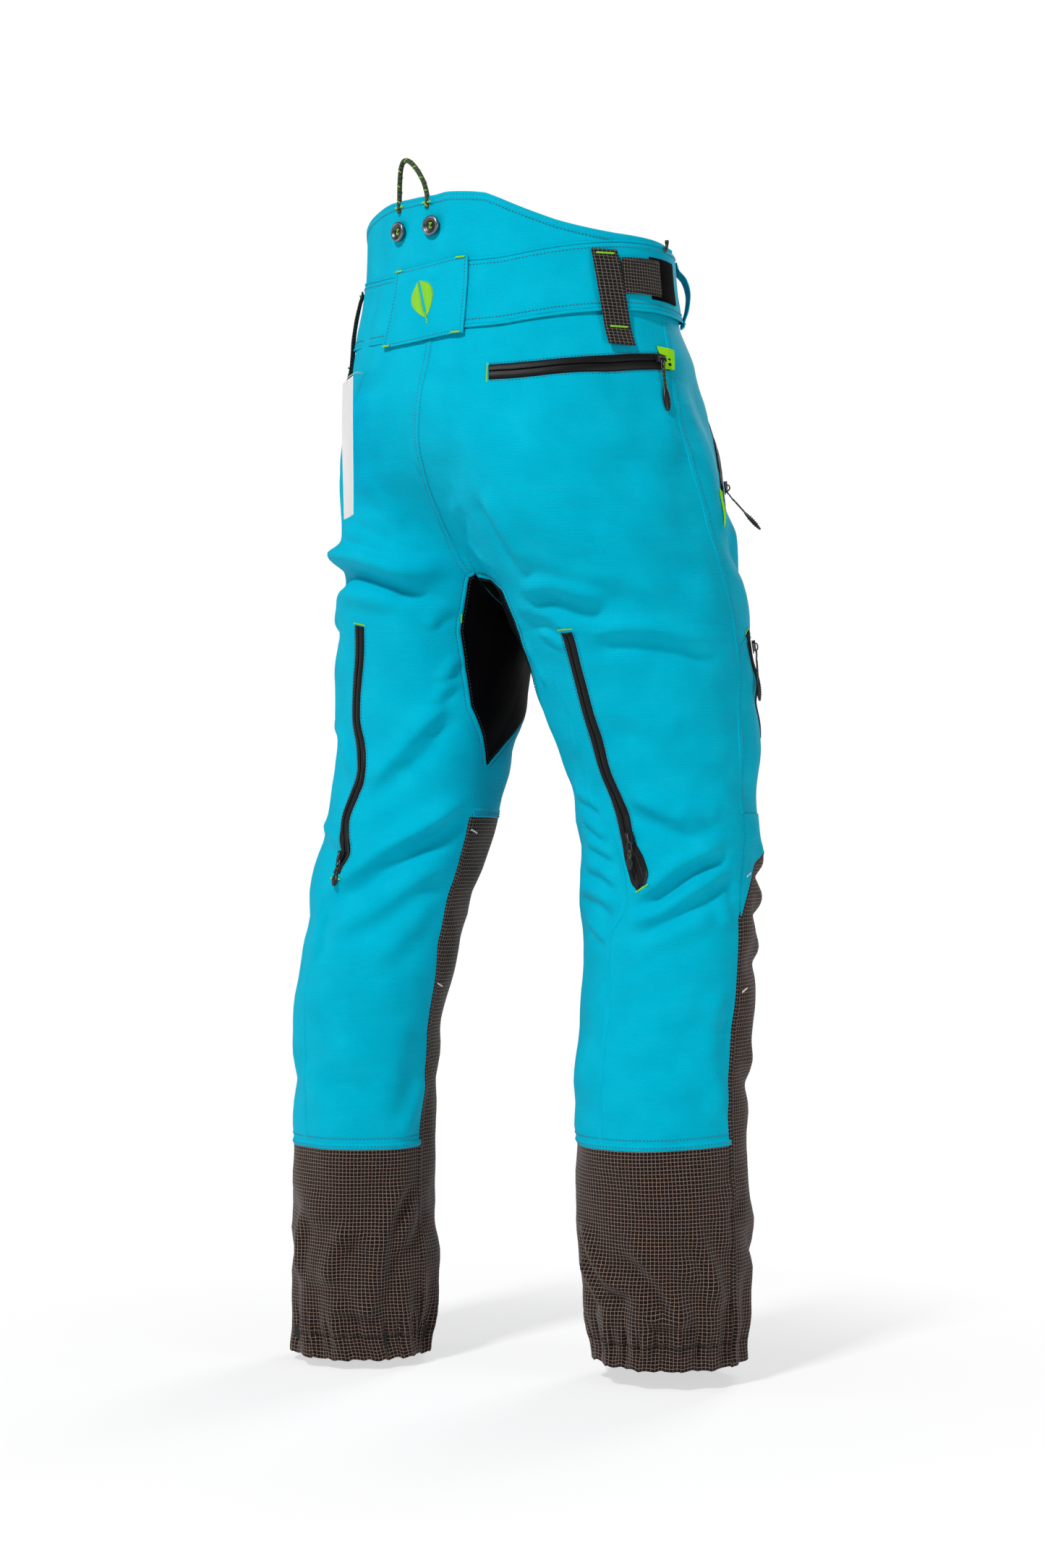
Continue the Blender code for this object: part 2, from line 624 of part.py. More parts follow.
def back_cord_loop():
    """Round cord arching over the raised back between two feet on its edge."""
    feet = []
    for theta, z in ((-14.0, 1.171), (0.0, 1.168)):
        foot = torso(theta, z)
        foot[2] = top_edge(theta) + 0.0008
        feet.append(foot)
    start, end = feet
    inset = outward(torso(-7.0, 1.16)) * -CORD_INSET
    points = [start + inset]
    for s in np.linspace(0, 1, 15)[1:-1]:
        point = start + (end - start) * (s + 0.06 * math.sin(2 * math.pi * s))
        lift = np.array((0, 0, CORD_ARCH * math.sin(math.pi * s) ** 0.8))
        points.append(point + inset + lift)
    points.append(end + inset)

    cord = bpy.data.curves.new("back_cord_loop", "CURVE")
    cord.dimensions = "3D"
    cord.bevel_depth = CORD_RADIUS
    cord.bevel_resolution = 1
    cord.use_fill_caps = True
    spline = cord.splines.new("POLY")
    spline.points.add(len(points) - 1)
    for spline_point, at in zip(spline.points, points):
        spline_point.co = (*at, 1)
    obj = bpy.data.objects.new("back_cord_loop", cord)
    PARTS.objects.link(obj)
    cord.materials.append(CORD)
    hang(obj, ROOT)


# Belt loops: name, material, degrees from the back, drop below the waistband.
BELT_LOOPS = (("back", WEBBING, 69.0, 0.030), ("front", STRETCH, 122.0, 0.006))
LOOP_HALF = 4.3             # half width in degrees


def belt_loops(word, side):
    for place_word, mat, angle, drop in BELT_LOOPS:
        theta = -side * angle
        belt_sheet(f"belt_loop_{place_word}_{word}", mat, ROOT,
                   theta - LOOP_HALF, theta + LOOP_HALF,
                   lambda t: band_low(t) - drop, lambda t: band_top(t) - 0.008,
                   n_u=2, n_v=5, offset=0.0048, thick=0.0030)


TAB_HINGE, TAB_END = 75.0, 92.0     # degrees from the back


def waist_tab(word, side):
    """Webbing tab on the waistband, hinged at its rear end."""
    hinge, end = -side * TAB_HINGE, -side * TAB_END
    axis = empty(f"waist_tab_{word}_axis", torso(hinge, 1.088, 0.0022), ROOT)
    belt_sheet(f"waist_tab_{word}", WEBBING, axis, min(hinge, end), max(hinge, end),
               lambda t: band_low(t) + 0.014, lambda t: band_low(t) + 0.050,
               n_u=4, n_v=1, offset=0.0036, thick=0.0026)


TAG_SIZE = (0.055, 0.136, 0.0008)       # width, length, thickness
TAG_TOP = (0.0722, 0.1656, 0.992)
TAG_FACES = math.radians(40.0)          # from the back towards the wearer's left


def swing_tag():
    normal = np.array((math.sin(TAG_FACES), math.cos(TAG_FACES), 0.0))
    down = np.array((0.0, 0.0, -1.0))
    axis = empty("swing_tag_axis", TAG_TOP, ROOT)
    block("swing_tag", CARD, axis, TAG_SIZE, np.array(TAG_TOP) + down * (TAG_SIZE[1] / 2 + 0.001),
          (np.cross(down, normal), down, normal), bevel=0.0)


# ----------------------------------------------------------------- assembly
waist()
crotch_gusset()
for word, side in SIDES:
    hips(word, side)
    leg_panels(word, side)
    pocket_bag(f"hand_pocket_bag_{word}", side, 112.0, 168.0, bottom=0.790, n_v=4)
    belt_loops(word, side)
    waist_tab(word, side)
pocket_bag("hip_pocket_bag", -1, 24.0, 84.0, bottom=0.850, n_v=3)
for zip_row in ZIPS:
    build_zip(*zip_row)
label_patch()
button("brace_button_right", theta=2.0, z=1.137, radius=0.0100, height=0.0040)
button("brace_button_left", theta=-14.0, z=1.137, radius=0.0100, height=0.0040)
button("waist_button", theta=180.0, z=1.092, radius=0.0085, height=0.0050)
back_cord_loop()
swing_tag()
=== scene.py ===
"""Chainsaw trousers: the looks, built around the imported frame.

The trousers stand upright in metres, the hem at z = 0. The back faces +y and the wearer's right
is towards -x. A side is -1 for the right leg and 1 for the left. phi is an angle round one leg
and theta an angle round the body, both in degrees: 0 at the back, 180 at the front. phi 90 is
the outside of either leg, theta 90 the right hip and theta -90 the left.
"""

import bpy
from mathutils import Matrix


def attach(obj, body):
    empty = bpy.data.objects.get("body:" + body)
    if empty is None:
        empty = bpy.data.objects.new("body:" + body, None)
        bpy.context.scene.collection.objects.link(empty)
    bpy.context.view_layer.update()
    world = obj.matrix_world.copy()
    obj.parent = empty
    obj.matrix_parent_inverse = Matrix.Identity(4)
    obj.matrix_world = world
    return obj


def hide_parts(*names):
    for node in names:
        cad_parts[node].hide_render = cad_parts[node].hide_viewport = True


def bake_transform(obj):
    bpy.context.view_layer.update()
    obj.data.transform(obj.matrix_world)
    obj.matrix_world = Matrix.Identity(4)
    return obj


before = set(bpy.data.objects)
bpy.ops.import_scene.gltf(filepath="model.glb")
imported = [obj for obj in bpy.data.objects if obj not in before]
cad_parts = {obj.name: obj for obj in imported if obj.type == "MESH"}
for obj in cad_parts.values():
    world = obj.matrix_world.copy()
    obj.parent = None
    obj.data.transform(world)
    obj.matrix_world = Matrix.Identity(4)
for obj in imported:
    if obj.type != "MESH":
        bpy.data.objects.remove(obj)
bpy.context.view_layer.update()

import math

import bmesh
import bpy
import numpy as np
from mathutils import Matrix, Vector
from mathutils.kdtree import KDTree

SIDES = ((-1, "right"), (1, "left"))
HIP_ZONE = {-1: "hipR", 1: "hipL"}        # the zone between waist and thigh, baked in place
KNEE_ZONE = {-1: "kneeR", 1: "kneeL"}     # the zone between thigh and shin, baked in place


# ------------------------------------------------------------ small sums
def smooth(start, end, value):
    share = np.clip((np.asarray(value, float) - start) / (end - start), 0, 1)
    return share * share * (3 - 2 * share)


def bell(value, middle, width):
    return np.exp(-((value - middle) / width) ** 2)


def unit(vectors, tiny=0.0):
    return vectors / (np.linalg.norm(vectors, axis=-1, keepdims=True) + tiny)


def bisect(inside, low, high, steps):
    """Where inside(value) turns false between low and high."""
    for _ in range(steps):
        middle = (low + high) / 2
        hit = inside(middle)
        low, high = np.where(hit, middle, low), np.where(hit, high, middle)
    return (low + high) / 2


def soft_interp(value, table, grid, spread):
    """Linear interpolation of a two-column table, averaged over spread grid steps each way."""
    table = np.array(table, float)
    line = np.interp(grid, table[:, 0], table[:, 1])
    count = 2 * spread + 1
    line = np.convolve(np.pad(line, spread, mode="edge"), np.ones(count) / count, "valid")
    return np.interp(value, grid, line)


def sample(where, knots, points):
    """Points interpolated at given lengths along a line."""
    return np.stack([np.interp(where, knots, points[:, k]) for k in range(points.shape[1])],
                    axis=-1)


def lengths(points):
    steps = np.linalg.norm(np.diff(points, axis=0), axis=1)
    return np.concatenate([[0], np.cumsum(steps)])


# ------------------------------------------------------------- body form
SIZE = 1.03          # overall size factor, regular length, size large
HEM_Z = 0.013        # height of the hem in the section tables

# Each leg is a stack of rounded sections: z, distance of the centre from the mid-plane,
# y of the centre, then the side, front and back radii. Both legs share the waist.
WAIST_SECTIONS = [
    (1.010, 0.042, -0.008, 0.1400, 0.1260, 0.1370),
    (1.070, 0.033, -0.008, 0.1390, 0.1160, 0.1240),
    (1.120, 0.031, -0.007, 0.1380, 0.1120, 0.1200),
    (1.190, 0.031, -0.004, 0.1380, 0.1120, 0.1220),
]
SECTIONS = {
    -1: [
        (0.013, 0.1428, -0.066, 0.0745, 0.0745, 0.0745),
        (0.045, 0.1428, -0.064, 0.0770, 0.0770, 0.0770),
        (0.090, 0.1418, -0.061, 0.0800, 0.0800, 0.0800),
        (0.160, 0.1408, -0.060, 0.0815, 0.0815, 0.0815),
        (0.230, 0.1388, -0.058, 0.0820, 0.0820, 0.0815),
        (0.290, 0.1368, -0.061, 0.0820, 0.0820, 0.0820),
        (0.350, 0.1338, -0.072, 0.0815, 0.0830, 0.0830),
        (0.410, 0.134, -0.080, 0.0840, 0.0870, 0.0840),
        (0.470, 0.131, -0.083, 0.0880, 0.0920, 0.0860),
        (0.530, 0.128, -0.086, 0.0890, 0.0930, 0.0890),
        (0.590, 0.124, -0.081, 0.0920, 0.0950, 0.0930),
        (0.650, 0.118, -0.070, 0.0990, 0.1010, 0.1010),
        (0.710, 0.112, -0.057, 0.1075, 0.1080, 0.1120),
        (0.770, 0.106, -0.043, 0.1135, 0.1150, 0.1290),
        (0.830, 0.096, -0.022, 0.1200, 0.1220, 0.1480),
        (0.890, 0.079, -0.014, 0.1270, 0.1310, 0.1610),
        (0.950, 0.058, -0.008, 0.1340, 0.1340, 0.1540),
    ] + WAIST_SECTIONS,
    1: [
        (0.013, 0.1492, 0.067, 0.0700, 0.0700, 0.0700),
        (0.045, 0.1492, 0.067, 0.0725, 0.0725, 0.0725),
        (0.090, 0.1482, 0.068, 0.0740, 0.0740, 0.0740),
        (0.160, 0.1472, 0.071, 0.0725, 0.0725, 0.0725),
        (0.230, 0.1452, 0.072, 0.0725, 0.0725, 0.0725),
        (0.290, 0.1432, 0.071, 0.0730, 0.0740, 0.0730),
        (0.350, 0.1392, 0.072, 0.0755, 0.0770, 0.0755),
        (0.410, 0.131, 0.066, 0.0785, 0.0820, 0.0790),
        (0.470, 0.127, 0.053, 0.0800, 0.0860, 0.0810),
        (0.530, 0.122, 0.033, 0.0820, 0.0870, 0.0830),
        (0.590, 0.117, 0.017, 0.0840, 0.0890, 0.0860),
        (0.650, 0.112, 0.008, 0.0905, 0.0950, 0.0930),
        (0.710, 0.107, 0.007, 0.0950, 0.1010, 0.0990),
        (0.770, 0.103, 0.006, 0.1020, 0.1080, 0.1130),
        (0.830, 0.093, -0.002, 0.1070, 0.1150, 0.1240),
        (0.890, 0.076, -0.008, 0.1160, 0.1230, 0.1440),
        (0.950, 0.058, -0.008, 0.1280, 0.1300, 0.1480),
    ] + WAIST_SECTIONS,
}
OFFSET_X, CENTRE_Y, SIDE_R, FRONT_R, BACK_R = 1, 2, 3, 4, 5     # columns of the sections


def curve(side, column, z):
    """Smooth (Hermite) interpolation of one column of a section table."""
    table = np.array(SECTIONS[side])
    knots, values = table[:, 0], table[:, column]
    slope = np.gradient(values, knots)
    z = np.clip(np.asarray(z, float), knots[0], knots[-1])
    i = np.clip(np.searchsorted(knots, z, side="right") - 1, 0, len(knots) - 2)
    step = knots[i + 1] - knots[i]
    u = (z - knots[i]) / step
    return (
        (2 * u**3 - 3 * u**2 + 1) * values[i]
        + (u**3 - 2 * u**2 + u) * step * slope[i]
        + (3 * u**2 - 2 * u**3) * values[i + 1]
        + (u**3 - u**2) * step * slope[i + 1]
    )


def centre(side, z):
    """Centre of a leg's section, in the units of the tables."""
    return side * curve(side, OFFSET_X, z), curve(side, CENTRE_Y, z)


def middle_y(z):
    return (centre(-1, z)[1] + centre(1, z)[1]) / 2


def table_z(z):
    """Height in the section tables of a height in metres."""
    return z / SIZE + HEM_Z


def leg_centre(side, z):
    """Centre of a leg at height z, in metres."""
    cx, cy = centre(side, table_z(z))
    return cx * SIZE, cy * SIZE


def leg_field(side, x, y, z):
    cx, cy = centre(side, z)
    side_r = curve(side, SIDE_R, z)
    depth_r = np.where(y < cy, curve(side, FRONT_R, z), curve(side, BACK_R, z))
    return (np.sqrt(((x - cx) / side_r) ** 2 + ((y - cy) / depth_r) ** 2 + 1e-12) - 1) * side_r


def field(x, y, z):
    """Both legs and the hips as one smooth form: negative inside."""
    melt = 0.012 + 0.030 * smooth(0.74, 0.80, z) + 0.05 * smooth(0.80, 0.92, z)
    right, left = leg_field(-1, x, y, z), leg_field(1, x, y, z)
    near = np.maximum(melt - np.abs(right - left), 0) / melt
    return np.minimum(right, left) - near * near * melt / 4


def torso(theta, z):
    """Point on the seat and waist."""
    theta, z = np.broadcast_arrays(np.asarray(theta, float), np.asarray(z, float))
    zt = table_z(z)
    cy = middle_y(zt)
    dx, dy = -np.sin(np.radians(theta)), np.cos(np.radians(theta))
    radius = bisect(lambda r: field(r * dx, cy + r * dy, zt) < 0,
                    np.zeros_like(zt), np.full_like(zt, 0.4), 26)
    return np.stack([radius * dx * SIZE, (cy + radius * dy) * SIZE, z], axis=-1)


def leg(side, phi, z):
    """Point on one leg's cloth, never past the mid-plane."""
    phi, z = np.broadcast_arrays(np.asarray(phi, float), np.asarray(z, float))
    zt = table_z(z)
    cx, cy = centre(side, zt)
    dx, dy = side * np.sin(np.radians(phi)), np.cos(np.radians(phi))
    inward = -side * dx
    most = np.where(inward > 1e-6, np.abs(cx) / np.maximum(inward, 1e-6), 0.4)
    most = np.minimum(most, 0.4)
    radius = bisect(lambda r: field(cx + r * dx, cy + r * dy, zt) < 0,
                    np.zeros_like(most), most, 26)
    return np.stack([(cx + radius * dx) * SIZE, (cy + radius * dy) * SIZE, z], axis=-1)


def depth(point):
    """Roughly how far a point lies outside the cloth (negative inside), in metres."""
    point = np.asarray(point, float)
    return SIZE * field(point[..., 0] / SIZE, point[..., 1] / SIZE, table_z(point[..., 2]))


def outward(point):
    """Unit normal of the cloth near a point."""
    point = np.asarray(point, float)
    step = 0.002
    return unit(np.stack([depth(point + step * way) - depth(point - step * way)
                          for way in np.eye(3)], axis=-1))


def saddle():
    """Lowest place where the legs meet: z and y in the section tables."""
    low, high = 0.66, 0.80
    ys = np.linspace(-0.15, 0.10, 501)

    def across(z):
        return field(np.zeros_like(ys), ys, np.full_like(ys, z))

    for _ in range(30):
        middle = (low + high) / 2
        if across(middle).min() < 0:
            high = middle
        else:
            low = middle
    return high, float(ys[np.argmin(across(high))])


SADDLE_Z, SADDLE_Y = saddle()
CROTCH_Z = (SADDLE_Z - HEM_Z) * SIZE


# ------------------------------------------------------------ seam lines
INSIDE_LEG = {          # z, angle of the seam down the inside of each leg
    -1: [(0.0, -97.0), (1.1, -97.0)],
    1: [(0.0, -101.0), (0.22, -102.0), (0.28, -104.0), (0.33, -104.0), (0.38, -102.0),
        (0.43, -96.0), (0.49, -95.0), (0.56, -91.0), (0.62, -92.0), (1.1, -97.0)],
}
OUTSIDE_LEG = {         # z, angle of the side seam
    -1: [(0.0, 94.0), (0.25, 93.0), (0.34, 92.0), (0.42, 91.0), (0.47, 88.5), (0.50, 91.0),
         (0.53, 95.0), (0.59, 93.0), (0.65, 97.0), (0.72, 102.0), (0.765, 101.0),
         (0.81, 97.5), (0.86, 96.5), (0.91, 93.0), (0.96, 91.5), (1.01, 93.5), (1.06, 95.0)],
    1: [(0.0, 95.0), (0.4, 94.0), (0.6, 96.0), (0.8, 98.0), (1.06, 96.0)],
}


def outside(side, z):
    """Angle of the side seam, softened."""
    return soft_interp(z, OUTSIDE_LEG[side], np.linspace(-0.02, 1.10, 561), spread=9)


def edge(side, z, back):
    """Angle at which one half meets the mid-plane above the crotch; below it, the inseam."""
    zt = table_z(np.asarray(z, float))
    above = np.maximum(zt, SADDLE_Z + 1e-6)
    cx, cy = centre(side, above)
    y = bisect(lambda m: field(np.zeros_like(above), m, above) < 0,
               np.full_like(above, SADDLE_Y), np.full_like(above, 0.35 if back else -0.35), 34)
    high = np.degrees(np.arctan2(-np.abs(cx), y - cy))
    cx, cy = centre(side, zt)
    low = np.degrees(np.arctan2(-np.abs(cx), SADDLE_Y - cy))
    table = np.array(INSIDE_LEG[side])
    inseam = np.interp(z, table[:, 0], table[:, 1])
    low = low + (inseam - low) * smooth(0.0, 0.14, SADDLE_Z - zt)
    angle = np.where(zt > SADDLE_Z, high, low)
    return angle if back else angle + 360.0


# Each half of the trousers is a grid: rows of constant height, columns round the leg.
ROW_STEP = 0.0030
COLS = 176
SIDE_COL = 96            # grid column of the side seam
CUFF_Z = 0.222           # top of the brown cuff at the back
KNEE_TOP = 0.560         # split row between the hip and the knee zones, top of the brown panels
ROW_Z = np.concatenate([
    np.arange(0.0, CROTCH_Z - 0.006, ROW_STEP),
    np.linspace(CROTCH_Z - 0.005, CROTCH_Z + 0.006, 8),
    np.arange(CROTCH_Z + 0.0085, 1.062, ROW_STEP),
])
for seam_z in (CUFF_Z, KNEE_TOP):
    ROW_Z[int(np.argmin(np.abs(ROW_Z - seam_z)))] = seam_z
CUFF_ROW, KNEE_ROW = (int(np.argmin(np.abs(ROW_Z - seam_z))) for seam_z in (CUFF_Z, KNEE_TOP))
TOP_ROW = len(ROW_Z) - 1
BELOW_CROTCH = ROW_Z <= CROTCH_Z


def grid_normals(points):
    return unit(np.cross(np.gradient(points, axis=1), np.gradient(points, axis=0)), 1e-12)


def share_seam_normals(normals, tiny=0.0):
    """Below the crotch the first and last column are one line and share their normals."""
    both = unit(normals[BELOW_CROTCH, 0] + normals[BELOW_CROTCH, -1], tiny)
    normals[BELOW_CROTCH, 0] = both
    normals[BELOW_CROTCH, -1] = both


class Half:
    """One leg with its half of the hips: columns run from the inner back seam round the
    outside to the inner front seam."""

    def __init__(self, side):
        self.side = side
        self.z = ROW_Z[:, None] + np.zeros((1, COLS + 1))
        self.back_edge = edge(side, ROW_Z, True)
        self.front_edge = edge(side, ROW_Z, False)
        self.side_seam = outside(side, ROW_Z)
        back, front, seam_at = (a[:, None] for a in
                                (self.back_edge, self.front_edge, self.side_seam))
        col = np.arange(COLS + 1)[None, :]
        self.phi = np.where(col <= SIDE_COL, back + (seam_at - back) * col / SIDE_COL,
                            seam_at + (front - seam_at) * (col - SIDE_COL) / (COLS - SIDE_COL))
        points = leg(side, self.phi, self.z)
        points[~BELOW_CROTCH, 0, 0] = 0.0
        points[~BELOW_CROTCH, -1, 0] = 0.0
        points[BELOW_CROTCH, -1] = points[BELOW_CROTCH, 0]
        self.p = points
        self.base = points.copy()
        normals = grid_normals(points)
        middle = np.stack(leg_centre(side, self.z), axis=-1)
        self.facing = np.sign(((points[..., :2] - middle) * normals[..., :2]).sum(-1).mean())
        self.n = normals * self.facing
        share_seam_normals(self.n)
        self.base_n = self.n.copy()
        # arc length round each row from the side seam, for the weave
        step = np.linalg.norm(np.diff(points, axis=1), axis=-1)
        arc = np.concatenate([np.zeros((len(ROW_Z), 1)), np.cumsum(step, axis=1)], axis=1)
        self.arc = arc - arc[:, SIDE_COL][:, None]
        self.disp = np.zeros(points.shape[:2])
        self.tree = KDTree(points.shape[0] * points.shape[1])
        for i, point in enumerate(points.reshape(-1, 3)):
            self.tree.insert(point, i)
        self.tree.balance()

    def refresh(self):
        """Works the normals out again after the points have moved."""
        normals = grid_normals(self.p) * self.facing
        share_seam_normals(normals, 1e-12)
        for k in (0, -1):
            normals[~BELOW_CROTCH, k, 0] = 0
            normals[~BELOW_CROTCH, k] = unit(normals[~BELOW_CROTCH, k])
        self.n = normals

    def look_up(self, grid, phi, z):
        phi, z = np.broadcast_arrays(np.asarray(phi, float), np.asarray(z, float))
        row = np.interp(z, ROW_Z, np.arange(len(ROW_Z)))
        back = np.interp(z, ROW_Z, self.back_edge)
        front = np.interp(z, ROW_Z, self.front_edge)
        seam_at = np.interp(z, ROW_Z, self.side_seam)
        col = np.where(phi < seam_at, (phi - back) / (seam_at - back) * SIDE_COL,
                       SIDE_COL + (phi - seam_at) / (front - seam_at) * (COLS - SIDE_COL))
        col = np.clip(col, 0, COLS)
        j = np.clip(row.astype(int), 0, len(ROW_Z) - 2)
        i = np.clip(col.astype(int), 0, COLS - 1)
        up, on = (row - j)[..., None], (col - i)[..., None]
        return ((grid[j, i] * (1 - on) + grid[j, i + 1] * on) * (1 - up)
                + (grid[j + 1, i] * (1 - on) + grid[j + 1, i + 1] * on) * up)

    def plain(self, phi, z):
        """Point on the cloth as it was before any fold."""
        return self.look_up(self.base, phi, z)

    def normal(self, phi, z):
        return unit(self.look_up(self.n, phi, z), 1e-12)

    def at(self, phi, z, up=0.0):
        return self.look_up(self.p, phi, z) + self.normal(phi, z) * np.asarray(up)[..., None]

    def line(self, phi, z):
        """Points and normals on the cloth."""
        return self.at(phi, z), self.normal(phi, z)

    def locate(self, point):
        """Angle and height of points near this half's cloth; raised is set by displace."""
        point = np.asarray(point, float)
        z = np.clip(point[..., 2], ROW_Z[0], ROW_Z[-1])
        cx, cy = leg_centre(self.side, z)
        phi = np.degrees(np.arctan2(self.side * (point[..., 0] - cx), point[..., 1] - cy))
        back = np.interp(z, ROW_Z, self.back_edge)
        front = np.interp(z, ROW_Z, self.front_edge)
        phi = np.where(phi < (back + front) / 2 - 180, phi + 360, phi)
        phi = np.clip(phi, back, front)
        for _ in range(2):
            lifted = self.look_up(self.raised[..., None], phi, z)[..., 0]
            z = np.clip(point[..., 2] - lifted, ROW_Z[0], ROW_Z[-1])
        return phi, z


HALF = {side: Half(side) for side, _ in SIDES}


# ----------------------------------------------------------------- folds
def resample(points, step=0.012):
    """Smooth (Catmull-Rom) curve through control points, evenly spaced."""
    points = np.asarray(points, float)
    if len(points) > 2:
        last = len(points) - 1
        fine = []
        for share in np.linspace(0, 1, 60):
            x = share * last
            i = min(int(x), last - 1)
            u = x - i
            p0, p1, p2, p3 = (points[k] for k in (max(i - 1, 0), i, i + 1, min(i + 2, last)))
            fine.append(0.5 * ((2 * p1) + (-p0 + p2) * u + (2 * p0 - 5 * p1 + 4 * p2 - p3) * u**2
                               + (-p0 + 3 * p1 - 3 * p2 + p3) * u**3))
        points = np.array(fine)
    knots = lengths(points)
    count = max(2, int(knots[-1] / step) + 1)
    return sample(np.linspace(0, knots[-1], count), knots, points)


def add_fold(half, control, height, width, lean, trough):
    """A drape fold: a soft ridge along control [(phi, z), ...] with a shallow trough on its
    lower side. A negative height makes a crease. lean makes the lower flank steeper."""
    line = resample([half.plain(phi, z) for phi, z in control], 0.010)
    box_low, box_high = line.min(0) - 3.2 * width, line.max(0) + 3.2 * width
    points = half.base.reshape(-1, 3)
    near = np.where(((points > box_low) & (points < box_high)).all(1))[0]
    if len(near) == 0:
        return
    point = points[near]
    all_normals = half.base_n.reshape(-1, 3)
    normal = all_normals[near]
    start = line[:-1]
    chord = line[1:] - start
    chord2 = (chord**2).sum(1)
    share = ((point[:, None, :] - start[None]) * chord[None]).sum(-1) / chord2[None]
    share = np.clip(share, 0, 1)
    foot = start[None] + share[..., None] * chord[None]
    dist2 = ((point[:, None, :] - foot) ** 2).sum(-1)
    nearest = np.argmin(dist2, axis=1)
    row = np.arange(len(point))
    dist = np.sqrt(dist2[row, nearest])
    along = (nearest + share[row, nearest]) / len(chord)
    tangent = chord[nearest] / np.sqrt(chord2[nearest])[:, None]
    sideways = np.cross(normal, tangent)
    sign = np.sign(((point - foot[row, nearest]) * sideways).sum(1))
    off = dist * sign * np.sign(sideways[:, 2] + 1e-9)          # positive above the line
    flank = np.where(off > 0, width * (1 + lean), width * (1 - lean))
    shape = np.exp(-((off / flank) ** 2)) - trough * bell(off, -1.75 * width, 0.95 * width)
    taper = smooth(0, 0.25, along) * smooth(0, 0.25, 1 - along)
    line_normals = all_normals[np.array([half.tree.find(Vector(p))[1] for p in line])]
    facing = np.clip((normal * line_normals[nearest]).sum(1), 0, 1) ** 0.5
    half.disp.reshape(-1)[near] += height * shape * taper * facing


def value_noise(points, scale, seed):
    """Smooth noise in 3-D, -1 to 1."""
    scaled = points / scale
    cell = np.floor(scaled).astype(np.int64)
    part = scaled - cell
    part = part * part * (3 - 2 * part)

    def corner(a, b, c):
        x = (a * 73856093 ^ b * 19349663 ^ c * 83492791 ^ (seed * 2654435761)) & 0xFFFFFFFF
        x = (x ^ (x >> 15)) * 2246822519 & 0xFFFFFFFF
        x = (x ^ (x >> 13)) * 3266489917 & 0xFFFFFFFF
        return ((x ^ (x >> 16)) & 0xFFFF) / 32767.5 - 1

    total = 0
    for i in (0, 1):
        for j in (0, 1):
            for k in (0, 1):
                weight = ((part[..., 0] if i else 1 - part[..., 0])
                          * (part[..., 1] if j else 1 - part[..., 1])
                          * (part[..., 2] if k else 1 - part[..., 2]))
                total = total + weight * corner(cell[..., 0] + i, cell[..., 1] + j,
                                                cell[..., 2] + k)
    return total


FOLD_HEIGHT = 1.9 / 1000      # metres per unit of fold height
FOLD_WIDTH = 0.86 / 1000      # metres per unit of fold width
